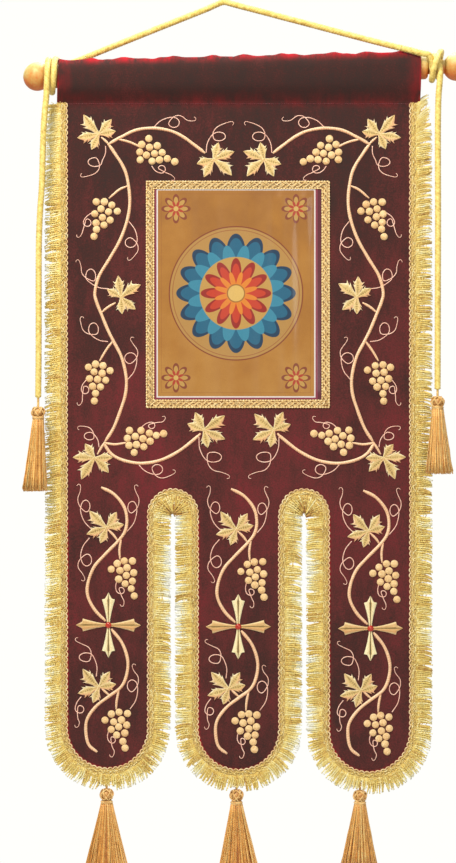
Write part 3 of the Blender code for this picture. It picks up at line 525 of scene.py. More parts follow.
THREADS = (
    # key, name, rib pitch, bump, slant, share of tone, grain, share of rib, orange-brown tint of painted
    # shade and colour stops
    ("cord", "cord yarn", 0.0011, 0.00025, 3.0, 0.45, 150.0, 0.22, None,
     ((0.15, 0.46, 0.28, 0.045), (0.48, 0.82, 0.60, 0.130), (0.80, 0.94, 0.80, 0.28))),
    ("strand", "fringe strands", 0.0018, 0.00025, 2.0, 0.80, 150.0, 0.22, None,
     ((0.02, 0.44, 0.19, 0.035), (0.28, 0.76, 0.50, 0.10), (0.56, 0.95, 0.76, 0.21),
      (0.80, 1.00, 0.92, 0.48), (1.00, 1.00, 0.99, 0.84))),
    ("gimp", "gimp threads", 0.0013, 0.00020, 2.0, 0.65, 420.0, 0.22, None,
     ((0.08, 0.40, 0.23, 0.050), (0.34, 0.76, 0.52, 0.12), (0.58, 0.94, 0.74, 0.24),
      (0.86, 1.00, 0.93, 0.56))),
    ("gimp ground", "gimp ground", 0.0016, 0.0004, 5.0, 0.2, 520.0, 0.22, None,
     ((0.20, 0.30, 0.16, 0.035), (0.50, 0.62, 0.40, 0.095), (0.80, 0.90, 0.68, 0.21))),
    ("scallop", "scallop thread", 0.0014, 0.00020, 2.0, 0.5, 150.0, 0.22, None,
     ((0.20, 0.66, 0.36, 0.14), (0.50, 0.90, 0.64, 0.30), (0.80, 0.97, 0.82, 0.48))),
    ("skirt", "tassel strands", 0.0030, 0.00010, 2.0, 0.75, 110.0, 0.22, None,
     ((0.10, 0.40, 0.14, 0.022), (0.38, 0.74, 0.33, 0.060), (0.62, 0.90, 0.48, 0.110),
      (0.88, 0.96, 0.70, 0.26))),
    ("head", "tassel head", 0.0013, 0.00020, 2.5, 0.4, 150.0, 0.22, None,
     ((0.15, 0.42, 0.17, 0.035), (0.45, 0.76, 0.44, 0.13), (0.80, 0.92, 0.68, 0.29))),
    ("stem", "stem stitches", 0.0042, 0.00022, 1.7, 0.80, 260.0, 0.14, None,
     ((0.10, 0.42, 0.14, 0.055), (0.42, 0.74, 0.41, 0.21), (0.76, 0.94, 0.70, 0.43))),
    ("tendril", "tendril stitches", 0.0030, 0.00020, 1.5, 0.6, 150.0, 0.22, None,
     ((0.15, 0.60, 0.26, 0.18), (0.50, 0.92, 0.52, 0.38), (0.80, 1.00, 0.76, 0.60))),
    ("leaf", "leaf stitches", 0.0012, 0.00030, 0.0, 0.85, 300.0, 0.22, (0.82, 0.36, 0.15),
     ((0.04, 0.26, 0.16, 0.045), (0.22, 0.62, 0.40, 0.12), (0.44, 0.88, 0.66, 0.27),
      (0.82, 1.00, 0.87, 0.56))),
    ("grape", "grape stitches", 0.0010, 0.00026, 0.0, 0.6, 260.0, 0.22, None,
     ((0.10, 0.58, 0.27, 0.09), (0.45, 0.86, 0.56, 0.24), (0.85, 0.98, 0.78, 0.43))),
    ("cross", "cross stitches", 0.0010, 0.00030, 0.0, 0.85, 300.0, 0.22, (0.68, 0.27, 0.08),
     ((0.04, 0.12, 0.10, 0.03), (0.25, 0.56, 0.32, 0.09), (0.55, 0.86, 0.62, 0.25),
      (0.88, 1.00, 0.92, 0.54))),
    ("braid", "braid threads", 0.0013, 0.00018, 2.0, 0.6, 300.0, 0.22, None,
     ((0.10, 0.34, 0.17, 0.045), (0.38, 0.76, 0.48, 0.16), (0.62, 0.93, 0.69, 0.30),
      (0.88, 1.00, 0.88, 0.56))),
    ("braid ground", "braid ground", 0.0016, 0.0004, 5.0, 0.2, 420.0, 0.22, None,
     ((0.20, 0.14, 0.055, 0.016), (0.50, 0.34, 0.165, 0.045), (0.80, 0.62, 0.370, 0.120))),
    ("seam", "seam thread", 0.001, 0.0001, 0.0, 0.5, 150.0, 0.22, None,
     ((0.2, 0.10, 0.010, 0.014), (0.8, 0.26, 0.022, 0.035))),
)
looks = {"velvet": velvet_look(), "backing": backing_look(), "gilt": gilt_look(), "stone": stone_look()}
looks.update((row[0], thread_look(*row[1:])) for row in THREADS)


# Camera, lights and floor

def photo_spot(pixel_x, pixel_y):
    """Place on the plane y = 0 that a pixel of the photograph shows."""
    return (pixel_x - PHOTO_ORIGIN_X) * PIXEL, -(pixel_y - PHOTO_ORIGIN_Z) * PIXEL


def add_camera():
    """A camera straight in front, at the photograph's framing."""
    data = bpy.data.cameras.new("camera")
    data.sensor_width = SENSOR
    data.lens = SENSOR * CAMERA_DISTANCE / (PHOTO_HEIGHT * PIXEL)
    made = bpy.data.objects.new("camera", data)
    x, z = photo_spot(PHOTO_WIDTH / 2, PHOTO_HEIGHT / 2)
    made.location = (x, -CAMERA_DISTANCE, z)
    made.rotation_euler = (math.pi / 2, 0, 0)
    bpy.context.scene.collection.objects.link(made)
    bpy.context.scene.camera = made


BANNER_MIDDLE = (0.02, 0.0, -0.75)
BANNER_TOP = (0.02, 0.0, -0.10)
LIGHTS = (
    # name, place, target, size, power and colour
    ("key", (-1.0, -2.0, 1.6), BANNER_MIDDLE, 0.9, 96.0, (1.0, 0.97, 0.92)),
    ("fill", (1.3, -3.1, -0.2), BANNER_MIDDLE, 1.0, 20.0, (1.0, 1.0, 1.0)),
    ("top", (0.1, 0.5, 1.6), BANNER_TOP, 0.9, 34.0, (1.0, 1.0, 1.0)),
    ("behind", (0.6, 2.8, 0.8), BANNER_MIDDLE, 1.6, 40.0, (1.0, 1.0, 1.0)),
)


def add_light(name, place, target, size, power, colour):
    """A square area light turned to a point."""
    data = bpy.data.lights.new(name, "AREA")
    data.size = size
    data.energy = power
    data.color = colour
    made = bpy.data.objects.new(name, data)
    made.location = place
    aim = unit(np.subtract(target, place))
    made.rotation_euler = (math.acos(-aim[2]), 0.0, math.atan2(aim[0], -aim[1]) + math.pi)
    bpy.context.scene.collection.objects.link(made)


def add_surroundings():
    """Near-white surroundings and soft lights."""
    world = bpy.data.worlds.new("surroundings")
    world.use_nodes = True
    tree = world.node_tree
    seen = tree.nodes["Background"]
    around = tree.nodes.new("ShaderNodeBackground")
    glows = ((seen, (0.985, 0.985, 0.955, 1.0), 1.02), (around, (1.0, 0.98, 0.95, 1.0), 0.55))
    for node, colour, strength in glows:
        node.inputs["Color"].default_value = colour
        node.inputs["Strength"].default_value = strength
    path = tree.nodes.new("ShaderNodeLightPath")
    choice = tree.nodes.new("ShaderNodeMixShader")
    tree.links.new(path.outputs["Is Camera Ray"], choice.inputs[0])
    tree.links.new(around.outputs[0], choice.inputs[1])
    tree.links.new(seen.outputs[0], choice.inputs[2])
    tree.links.new(choice.outputs[0], tree.nodes["World Output"].inputs["Surface"])
    bpy.context.scene.world = world
    for row in LIGHTS:
        add_light(*row)
    bpy.context.scene.view_settings.view_transform = "Standard"
    bpy.context.scene.view_settings.look = "None"


FLOOR_Z = -1.75
FLOOR_RIM = ((0.001, 0.0), (0.60, 0.0), (0.92, 0.0), (0.945, -0.004), (0.95, -0.02))


def add_floor():
    """A round pale floor with a soft rim."""
    shape = Shape()
    rows = [circle((0.0, 0.0, FLOOR_Z + drop), radius, 96) for radius, drop in FLOOR_RIM]
    shape.grid(np.array(rows), closed=True, turned=True)
    data = bpy.data.meshes.new("floor")
    data.from_pydata(np.concatenate(shape.points).tolist(), [], np.concatenate(shape.faces).tolist())
    data.materials.append(floor_look())
    data.shade_smooth()
    made = bpy.data.objects.new("floor", data)
    bpy.context.scene.collection.objects.link(made)


# Cord

CORD_TOP_ROUTE = (
    (-250.0, 31.0, -88.9), (-225.0, 27.0, -79.6), (-200.0, 23.0, -70.2),
    (-165.0, 18.5, -57.0), (-130.0, 14.0, -43.8), (-95.0, 10.0, -30.6), (-60.0, 6.0, -17.4),
    (-30.0, 3.0, -6.0), (-13.0, 1.2, 1.4), (0.0, 0.0, 5.5), (14.0, -0.8, 2.0),
    (32.0, -1.8, -3.0), (62.0, -3.2, -11.0), (100.0, -4.8, -21.4), (140.0, -6.4, -32.2),
    (180.0, -8.0, -43.1), (220.0, -9.5, -54.0), (260.0, -11.2, -64.9), (295.0, -13.5, -74.2),
    (318.0, -17.5, -80.5),
)
LEFT_LEAD = ((-250.0, 31.0, -88.9), (-268.0, 33.8, -95.5), (-284.0, 34.5, -100.5))
RIGHT_LEAD = ((318.0, -17.5, -80.5), (336.0, -21.2, -85.6), (353.0, -26.5, -91.5))
# turns round the rod: x, angle in degrees, radius
LEFT_TURN = (
    (-294.5, 41, 40.5), (-300.5, 66, 34.0), (-303.2, 98, 29.4), (-303.6, 138, 29.0),
    (-304.2, 178, 29.0), (-306.0, 218, 29.0), (-308.6, 258, 29.0), (-310.8, 298, 29.0),
    (-312.6, 338, 29.0), (-313.8, 378, 29.0), (-314.8, 418, 29.0), (-315.2, 458, 29.0),
    (-315.4, 498, 29.1), (-315.6, 526, 29.2),
)
LEFT_TAIL = (
    (-315.8, -29.6, -129.5), (-316.6, -30.2, -150.0), (-317.5, -30.0, -171.0),
    (-321.0, -30.0, -207.0), (-323.6, -29.4, -261.0), (-325.2, -29.0, -324.0),
    (-328.8, -28.5, -378.0), (-330.8, -28.0, -430.0), (-331.2, -28.0, -500.0),
    (-331.2, -28.0, -570.0), (-331.4, -28.0, -640.0), (-331.8, -28.0, -680.0),
    (-332.1, -28.0, -705.8),
)
RIGHT_TURN = (
    (366.0, 146, 32.0), (372.8, 164, 23.0), (373.0, 194, 19.8), (378.8, 226, 19.6),
    (386.6, 260, 19.6), (389.2, 298, 19.6), (389.4, 338, 19.6), (389.6, 378, 19.6),
    (389.8, 418, 19.8), (390.0, 454, 22.6), (388.8, 484, 29.8), (384.0, 510, 32.4),
    (377.6, 536, 32.6), (373.6, 564, 32.4), (372.8, 594, 30.0), (374.2, 626, 23.0),
    (376.4, 662, 19.8), (377.0, 702, 19.6), (377.2, 742, 19.6), (377.3, 782, 19.6),
    (377.4, 818, 19.6), (380.0, 850, 19.6), (385.0, 882, 19.6),
)
RIGHT_TAIL = (
    (386.6, -21.6, -119.0), (386.6, -25.8, -127.5), (385.6, -27.6, -144.0),
    (383.4, -28.0, -171.0), (382.4, -28.0, -225.0), (382.4, -28.0, -290.0),
    (382.6, -28.0, -350.0), (382.6, -28.0, -420.0), (382.4, -28.0, -490.0),
    (382.2, -28.0, -560.0), (382.0, -28.0, -630.0), (381.8, -28.0, -691.4),
)
CORE_SHARE = 0.33
CORE_POINTS = 19
CORD_LAYS = 4
CORD_LAY_PITCH = 0.021
CORD_RIDGE = 0.06
CORD_FULLNESS = 0.99
CORD_SIDES = 18
CORD_STEP = 0.0018
CORD_END_GAP = 0.0009


def turn_spots(rows):
    """Rows of a turn round the rod as points."""
    made = []
    for x, angle, radius in rows:
        turn = math.radians(angle)
        centre = rod_centre_z(x * MM)
        made.append((x * MM, radius * MM * math.cos(turn), centre + radius * MM * math.sin(turn)))
    return made


def carried_frames(points):
    """Directions across a line that turn no more than the line does."""
    along = unit(np.gradient(points, axis=0))
    across = unit(np.cross(along[0], (0.3, 1.0, 0.2)))
    made = []
    for direction in along:
        across = unit(across - direction * np.dot(across, direction))
        made.append(across)
    return np.array(made)


def cord(name, points, core_z=None):
    """A cord of four laid strands, whose thin core runs on into a tassel."""
    line = evenly(smooth(points, 0.004), CORD_STEP)
    thick = np.ones(len(line))
    if core_z is not None:
        core = np.linspace(line[-1], (line[-1][0], line[-1][1], core_z), CORE_POINTS + 1)[1:]
        thick = np.concatenate([thick, np.full(CORE_POINTS, CORE_SHARE)])
        line = np.vstack([line, core])
    across = carried_frames(line)
    along = unit(np.gradient(line, axis=0))
    lift = np.cross(across, along)
    turn = TAU * np.arange(CORD_SIDES) / CORD_SIDES
    run = lengths(line)[:, None]
    phase = CORD_LAYS * (turn - TAU * run / CORD_LAY_PITCH)
    radius = thick[:, None] * CORD_RADIUS * (CORD_FULLNESS + CORD_RIDGE * np.cos(phase))
    ring = across[:, None] * np.cos(turn)[:, None] + lift[:, None] * np.sin(turn)[:, None]
    # painted light: lighter on each lay's raised crest and on the side of the cord facing LIT_FROM
    tone = 0.5 + 0.13 * np.cos(phase) + 0.22 * (ring @ LIT_FROM)
    rims = line[:, None] + radius[:, :, None] * ring
    shape = Shape()
    shape.grid(rims, run, phase / 3.0, tone, closed=True)
    for row, turned_in in ((0, True), (-1, False)):
        fan = [(0, 1 + k, 1 + (k + 1) % CORD_SIDES) for k in range(CORD_SIDES)]
        if turned_in:
            fan = [face[::-1] for face in fan]
        shape.add(np.vstack([line[row], rims[row]]), fan)
    made = shape.make(name, [looks["cord"]], name)


def cord_routes():
    """The three stretches of cord, each starting just off the end that it follows."""
    top = np.array(CORD_TOP_ROUTE) * MM
    left = np.vstack([np.array(LEFT_LEAD) * MM, turn_spots(LEFT_TURN), np.array(LEFT_TAIL) * MM])
    right = np.vstack([np.array(RIGHT_LEAD) * MM, turn_spots(RIGHT_TURN), np.array(RIGHT_TAIL) * MM])
    left[0] = top[0] - CORD_END_GAP * unit(top[1] - top[0])
    right[0] = top[-1] - CORD_END_GAP * unit(top[-2] - top[-1])
    return left, top, right


# Tassels

TASSELS = (
    # name, head z, skirt z, end z, x, end dx, end radius, depth share
    ("tassel_cord_left", -0.7335, -0.7450, -0.8750, -0.3321, -0.0065, 0.0225, 0.80),
    ("tassel_cord_right", -0.7146, -0.7262, -0.8440, 0.3818, 0.0029, 0.0245, 0.80),
    ("tassel_lappet_left", -1.4220, -1.4370, -1.5690, -0.2115, 0.0, 0.0430, 0.62),
    ("tassel_lappet_middle", -1.4238, -1.4385, -1.5710, 0.0225, 0.004, 0.0395, 0.62),
    ("tassel_lappet_right", -1.4238, -1.4375, -1.5520, 0.2448, -0.002, 0.0330, 0.62),
)
NECK_PLIES = 3
NECK_PLY_RADIUS = 0.0012
NECK_PLY_SPREAD = 0.0011
NECK_PLY_PITCH = 0.009
HEAD_RADIUS = 0.0132
HEAD_SQUASH = 0.90
HEAD_LEADS = 3
HEAD_BIGHTS = 5
HEAD_PLY = 3
HEAD_PLY_RADIUS = 0.0013
# height over the skirt's top and radius of each turn of the collar
COLLAR = ((0.0035, 0.0088), (0.0018, 0.0103), (-0.0004, 0.0094))
COLLAR_PLY_RADIUS = 0.0012
SKIRT_TOP_RADIUS = 0.0098
SKIRT_TUCK = 0.003
SKIRT_STRANDS = 430
SKIRT_STRAND_RADIUS = 0.00045
SKIRT_POINTS = 7
SKIRT_LOCKS = 22
SKIRT_UNEVEN = 0.006
SKIRT_CORE_SHARE = 0.80
SKIRT_CORE_SIDES = 28


def tassel_head(shape, centre):
    """A woven ball: a band of three cords laced over and under itself."""
    core = HEAD_RADIUS - 2.6 * HEAD_PLY_RADIUS
    rows = []
    for slope in np.linspace(math.pi / 2, -math.pi / 2, 11):
        middle = centre + (0, 0, core * math.sin(slope) * HEAD_SQUASH)
        rows.append(circle(middle, core * math.cos(slope), 20))
    # painted shade: the core under the laced cords is toned darkest, for the shade between the cords
    shape.grid(np.array(rows), closed=True, turned=True, tone=0.0, look=1)
    t = np.linspace(0, TAU, 181)
    for ply in range(HEAD_PLY):
        shift = (ply - (HEAD_PLY - 1) / 2) * 2.0 * HEAD_PLY_RADIUS / HEAD_RADIUS
        slope = 1.02 * np.sin(HEAD_BIGHTS * t + shift * 1.5)
        azimuth = HEAD_LEADS * t + shift
        reach = HEAD_RADIUS - HEAD_PLY_RADIUS * (1.3 - 0.55 * np.sin(2 * HEAD_BIGHTS * t))
        line = reach[:, None] * np.stack([np.cos(slope) * np.cos(azimuth), np.cos(slope) * np.sin(azimuth),
                                          np.sin(slope) * HEAD_SQUASH], axis=1)
        across = np.cross(unit(np.gradient(line, axis=0)), unit(line))
        tone = 0.45 + 0.25 * (ply == 1)
        shape.sweep(centre + line, HEAD_PLY_RADIUS, 6, tone=tone, look=1, across=across[None])


def tassel_neck(shape, x, y, top_z, low_z):
    """Three cords wound round each other."""
    neck = evenly(np.array([(x, y, top_z), (x, y, low_z)]), NECK_PLY_RADIUS)
    for k in range(NECK_PLIES):
        angle = TAU * (k / NECK_PLIES + lengths(neck) / NECK_PLY_PITCH)
        wound = np.stack([np.cos(angle), np.sin(angle), 0 * angle], axis=1)
        shape.sweep(neck + NECK_PLY_SPREAD * wound, NECK_PLY_RADIUS, 6, tone=0.5, look=1)


def skirt_strands(shape, top, end, end_radius, depth_share, rng):
    """Fine strands from the head down to an uneven end, drawn together in locks."""
    share = np.linspace(0, 1, SKIRT_POINTS)
    azimuth = rng.uniform(0, TAU, SKIRT_STRANDS)
    depth = rng.uniform(0, 1, SKIRT_STRANDS) ** 0.35
    lock = np.round(azimuth / TAU * SKIRT_LOCKS) / SKIRT_LOCKS * TAU
    gather = rng.uniform(0.15, 0.75, SKIRT_STRANDS)
    drawn = (lock - azimuth) * gather + rng.normal(0, 0.05, SKIRT_STRANDS)
    angle = azimuth[:, None] + drawn[:, None] * share ** 1.5
    wave = rng.normal(0, 0.0007, (SKIRT_STRANDS, 1))
    wave = wave * np.sin(TAU * share * 2.3 + rng.uniform(0, TAU, (SKIRT_STRANDS, 1)))
    reach = SKIRT_TOP_RADIUS + (end_radius - SKIRT_TOP_RADIUS) * share ** 1.05
    radius = reach * depth[:, None] + wave * share
    squash = 1 + (depth_share - 1) * ease(share, 0.0, 0.5)
    ends = rng.uniform(0.0, SKIRT_UNEVEN, SKIRT_STRANDS)
    x = top[0] + (end[0] - top[0]) * share + radius * np.cos(angle)
    y = top[1] + radius * np.sin(angle) * squash
    z = top[2] + (end[2] - top[2] + ends[:, None]) * share
    wide = SKIRT_STRAND_RADIUS * rng.uniform(0.8, 1.35, (SKIRT_STRANDS, 1)) * (1 + 0.5 * share)
    # painted shade: strands deeper inside the skirt are toned darker
    tone = 0.22 + 0.60 * depth * rng.uniform(0.1, 1.3, SKIRT_STRANDS)
    shape.sweep(np.stack([x, y, z], axis=-1), wide, 3, tone=tone)


def skirt_core(shape, top, end, end_radius, depth_share):
    """A dark core that closes the skirt behind its strands, toned dark as painted shade."""
    turn = TAU * np.arange(SKIRT_CORE_SIDES) / SKIRT_CORE_SIDES
    rows = []
    for t in np.linspace(0, 0.97, 8):
        wide = (SKIRT_TOP_RADIUS + (end_radius - SKIRT_TOP_RADIUS) * t) * SKIRT_CORE_SHARE
        wide = wide * (1 + 0.05 * np.sin(7 * turn + 3 * t))
        squash = 1 + (depth_share - 1) * ease(t, 0.0, 0.5)
        rows.append(circle(top + (end - top) * t, wide, SKIRT_CORE_SIDES, squash * wide))
    rows.append(np.broadcast_to(end + (0, 0, SKIRT_UNEVEN), (SKIRT_CORE_SIDES, 3)))
    run = np.linspace(0, 0.03, SKIRT_CORE_SIDES)[None]
    # painted shade: the core's low tone stands for the shade inside the skirt
    shape.grid(np.array(rows), run=run, closed=True, turned=True, tone=0.12)


def tassel(row, seed):
    """Neck, woven head, collar and a skirt of many strands."""
    name, head_z, skirt_z, end_z, x, end_dx, end_radius, depth_share = row
    low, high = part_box(name)
    y = (low.y + high.y) / 2
    shape = Shape()
    tassel_neck(shape, x, y, high.z, head_z + 0.6 * HEAD_RADIUS)
    tassel_head(shape, np.array((x, y, head_z)))
    for rise, radius in COLLAR:
        ring = circle((x, y, skirt_z + rise), radius, 48)
        ring = np.vstack([ring, ring[:1]])
        out = ring - (x, y, skirt_z + rise)
        shape.sweep(ring, COLLAR_PLY_RADIUS, 5, tone=0.55, look=1, across=out[None])
    top = np.array((x, y, skirt_z + SKIRT_TUCK))
    end = np.array((x + end_dx, y, end_z))
    skirt_strands(shape, top, end, end_radius, depth_share, np.random.default_rng(seed))
    skirt_core(shape, top, end, end_radius, depth_share)
    return shape.make(name, [looks["skirt"], looks["head"]], name)


# Edge of the cloth

def lappet_centre(step):
    """Centre of a lappet's round end."""
    return BANNER_X + step * LAPPET_PITCH, LAPPET_CENTRE_Z + step * LAPPET_STEP_Z


def edge_stretches():
    """The cloth's edge from the left seam round to the right seam.

    A straight stretch is its x, start z, end z and outward sign. A bow is its
    centre, radius, start and end angle and outward sign. Both end with the
    length of their strands.
    """
    made = [("straight", BANNER_X - HALF_WIDTH, SEAM_Z, lappet_centre(-1)[1], -1, STRAND_LENGTH)]
    for _name, step in LAPPETS:
        centre = lappet_centre(step)
        made.append(("bow", centre, LAPPET_RADIUS, 180, 360, 1, STRAND_LENGTH))
        if step < 1:
            edge_x = centre[0] + LAPPET_RADIUS
            arch = (edge_x + SLOT_RADIUS, ARCH_SPRING_Z)
            next_z = lappet_centre(step + 1)[1]
            made.append(("straight", edge_x, centre[1], ARCH_SPRING_Z, 1, STRAND_LENGTH))
            made.append(("bow", arch, SLOT_RADIUS, 180, 0, -1, ARCH_STRAND_LENGTH))
            made.append(("straight", edge_x + 2 * SLOT_RADIUS, ARCH_SPRING_Z, next_z, -1, STRAND_LENGTH))
    made.append(("straight", BANNER_X + HALF_WIDTH, lappet_centre(1)[1], SEAM_Z, 1, STRAND_LENGTH))
    return made


def walk(inward, pitch):
    """Stations along the edge, evenly spaced at a distance in from it.

    Gives points on the edge, the directions out of the cloth and strand lengths.
    """
    spots = []
    aways = []
    reaches = []
    for kind, *numbers in edge_stretches():
        if kind == "straight":
            x, start, end, outward, reach = numbers
            count = max(1, round(abs(end - start) / pitch))
            t = np.arange(count) / count
            spot = np.stack([np.full(count, x), start + (end - start) * t], axis=1)
            away = np.tile((float(outward), 0.0), (count, 1))
        else:
            centre, radius, start, end, outward, reach = numbers
            span = math.radians(abs(end - start)) * (radius - outward * inward)
            count = max(1, round(span / pitch))
            turn = np.radians(start + (end - start) * np.arange(count) / count)
            spot = np.array(centre) + radius * bearing(turn)
            away = outward * bearing(turn)
        spots.append(spot)
        aways.append(away)
        reaches.append(np.full(count, reach))
    spots.append((BANNER_X + HALF_WIDTH, SEAM_Z))
    aways.append((1.0, 0.0))
    reaches.append([STRAND_LENGTH])
    return np.vstack(spots), np.vstack(aways), np.concatenate(reaches)


def inside_edge(spots, aways, inward, height):
    """Points in front of the cloth at distances in from its edge."""
    place = spots - aways * np.asarray(inward)[..., None]
    return front(place[..., 0], place[..., 1], height)


# Fringe

STRAND_PITCH = 0.0037
STRAND_PLIES = 3
PLY_RADIUS = 0.00092
PLY_SPREAD = 0.00076
PLY_POINTS = 7
PLY_TWIST = 0.0115
STRAND_ROOT = 0.0075
ARCH_REACH = 0.0245
BACK_POINTS = 5
BACK_RADIUS = 0.0020
BACK_DEPTH = 0.0022
TASSEL_X = (-0.2115, 0.0225, 0.2448)
TASSEL_GAP = 0.013
TOP_TURN_REACH = 0.060
LOCK_WIDTHS = (0.009, 0.024)


def fringe_strands():
    """Twisted strands of three plies that stand out from the braid, in three meshes."""
    rng = np.random.default_rng(5)
    spots, aways, reaches = walk(0.0, STRAND_PITCH)
    spots = 0.5 * (spots[1:] + spots[:-1])
    aways = unit(0.5 * (aways[1:] + aways[:-1]))
    reaches = reaches[:-1]
    count = len(spots)
    run = lengths(spots)
    in_arch = reaches < STRAND_LENGTH
    inside = np.abs(spots[:, 0] - BANNER_X) < HALF_WIDTH - 0.01
    in_slot = inside & (spots[:, 1] > LAPPET_CENTRE_Z) & ~in_arch
    drop = SEAM_Z - spots[:, 1]
    right = (aways[:, 0] > 0.9) & (spots[:, 0] > BANNER_X + HALF_WIDTH - 0.001)
    left = (aways[:, 0] < -0.9) & (spots[:, 0] < BANNER_X - HALF_WIDTH + 0.001)
    lean = np.zeros(count)
    lean[right] = 0.62 * (1 - ease(drop[right], 0.004, TOP_TURN_REACH))
    lean[right] += 0.28 * (1 - ease(drop[right], 0.10, 0.60))
    lean[left] = -0.20 * (1 - ease(drop[left], 0.004, 0.025)) + 0.10
    lean = lean + rng.normal(0, 0.03, count) + 0.05 * drift(run, 0.02, rng)
    aways = np.stack([aways[:, 0] * np.cos(lean) - aways[:, 1] * np.sin(lean),
                      aways[:, 0] * np.sin(lean) + aways[:, 1] * np.cos(lean)], axis=1)
    edge = np.stack([-aways[:, 1], aways[:, 0]], axis=1)
    reach = np.where(in_arch, ARCH_REACH, reaches) * rng.uniform(0.92, 1.03, count)
    reach = reach * np.where(in_slot, 1.06, 1.0)
    for k, (_name, step) in enumerate(LAPPETS):
        behind = np.abs(spots[:, 0] - TASSEL_X[k]) < TASSEL_GAP
        reach[behind & (spots[:, 1] < lappet_centre(step)[1])] *= 0.66
    droop = rng.uniform(0.0010, 0.0036, count) * np.abs(aways[:, 0])
    depth = rng.normal(0, 0.0010, count) + np.where(in_arch, 0.0011 * (-1.0) ** np.arange(count), 0.0)
    # locks: strands that lean together to a common tip
    ends = np.cumsum(rng.uniform(*LOCK_WIDTHS, round(run[-1] / LOCK_WIDTHS[0])))
    lock = np.searchsorted(ends, run)
    middle = ends[lock] - 0.5 * np.diff(ends, prepend=0.0)[lock]
    gather = rng.uniform(0.05, 0.36, len(ends))[lock]
    gather = gather * np.where(in_arch, 0.0, np.where(in_slot, 0.5, 1.0))
    pull = (middle - run) * gather + rng.normal(0, 0.0009, count)
    bow = rng.normal(0, 0.0013, len(ends))[lock]
    # painted highlights: about half the locks turn pale towards their tips, most in the slots; in the
    # arches the strands darken towards their tips as painted shadow where they meet
    bright = rng.uniform(size=len(ends)) < 0.45
    light = np.where(bright, rng.uniform(0.55, 1.15, len(ends)), 0.08)[lock]
    light = np.where(in_slot, light, np.where(right, 0.3 * light, 0.35 * light + 0.26))
    light = np.where(in_arch, -0.50, light)[:, None]
    shade = rng.uniform(-0.20, 0.12, len(ends))[lock][:, None]

    def strand_plane(share, out, aside):
        """Places of strands on the cloth's plane."""
        made = spots[:, None, None] + aways[:, None, None] * out[..., None]
        aside = aside + pull[:, None, None] * share ** 2.2 + bow[:, None, None] * np.sin(math.pi * share)
        made = made + edge[:, None, None] * aside[..., None]
        made[..., 1] -= droop[:, None, None] * share ** 2
        return made

    share = np.linspace(0, 1, PLY_POINTS)
    out = -STRAND_ROOT + (reach[:, None, None] + STRAND_ROOT) * share
    ply = np.arange(STRAND_PLIES)[None, :, None]
    turn = TAU * (out / PLY_TWIST + ply / STRAND_PLIES) + rng.uniform(0, TAU, (count, 1, 1))
    spread = PLY_SPREAD * (1 + 0.25 * share * rng.uniform(0, 1.5, (count, 1, 1)))
    plane = strand_plane(share, out, spread * np.cos(turn))
    root_y = front(spots[:, 0], spots[:, 1], 0.0016)[:, 1]
    y = root_y[:, None, None] + depth[:, None, None] * share - 0.0010 * np.sin(math.pi * share)
    y = y + spread * np.sin(turn)
    paths = np.stack([plane[..., 0], y, plane[..., 1]], axis=-1)
    tones = rng.uniform(0.25, 0.80, (count, 1, 1)) + rng.uniform(-0.16, 0.16, (count, STRAND_PLIES, 1))
    tones = tones + (shade + light * (share ** 1.5 - 0.15))[:, None]
    share_back = np.linspace(0, 1, BACK_POINTS)
    least = np.where(in_arch, 0.98, np.where(in_slot | right, 0.82, 0.55))
    reach_back = rng.uniform(least, 1.0) * reach
    out_back = -STRAND_ROOT + (reach_back[:, None, None] + STRAND_ROOT) * share_back
    plane = strand_plane(share_back, out_back, np.full((count, 1, 1), STRAND_PITCH / 2))
    y = root_y[:, None, None] + BACK_DEPTH * share_back
    y = y + rng.normal(0, 0.0004, (count, 1, 1)) * share_back
    backs = np.stack([plane[..., 0], y, plane[..., 1]], axis=-1)[:, 0]
    # painted shade: back strands in the arches are toned darker; pale locks brighten to their tips as
    # painted highlights
    back_tones = np.where(in_arch, 0.18, 0.42)[:, None] + shade + 1.1 * light * share_back
    made = []
    bounds = (0, round(count * 0.34), round(count * 0.66), count)
    for name, start, end in zip(("fringe_left", "fringe_middle", "fringe_right"), bounds, bounds[1:]):
        shape = Shape()
        rows = paths[start:end].reshape(-1, PLY_POINTS, 3)
        row_tones = tones[start:end].reshape(-1, PLY_POINTS)
        # painted shade round each ply, lighter towards LIT_FROM
        shape.sweep(rows, PLY_RADIUS * (1.05 - 0.15 * share), 3, tone=row_tones, shade=0.12)
        shape.sweep(backs[start:end], BACK_RADIUS * (1.0 - 0.25 * share_back), 4, flat=0.5,
                    tone=back_tones[start:end])
        stands_for = None if made else "fringe"
        made.append(shape.make(name, [looks["strand"]], stands_for))
    return made


GIMP_ROWS = (
    # distance in from the edge and half width of its wandering
    (-8.8, 3.6), (-4.8, 3.4), (-1.2, 3.2), (2.4, 3.2), (6.0, 3.2), (9.6, 3.0), (13.0, 2.4),
)
GIMP_STEP = 0.00130
GIMP_RADIUS = 0.00088
GIMP_LIFT = 0.0021
GIMP_LIFT_CHANGE = 0.0009
GIMP_SLIP = 0.0024
HEADING = 0.0166
SCALLOP_PITCH = 0.0098
SCALLOP_BULGE = 0.0032
SCALLOP_RADIUS = 0.0011
SCALLOP_LIFT = 0.0012
SCALLOP_ARCH = 0.0005
SCALLOP_TUCK = 0.0008
SCALLOP_POINTS = 8
# distance in from the edge and height of the braid's ground, in millimetres
GIMP_SECTION = ((-0.6, 0.1), (0.6, 1.0), (5.0, 1.5), (11.0, 1.5), (15.6, 1.1), (17.0, 0.1))


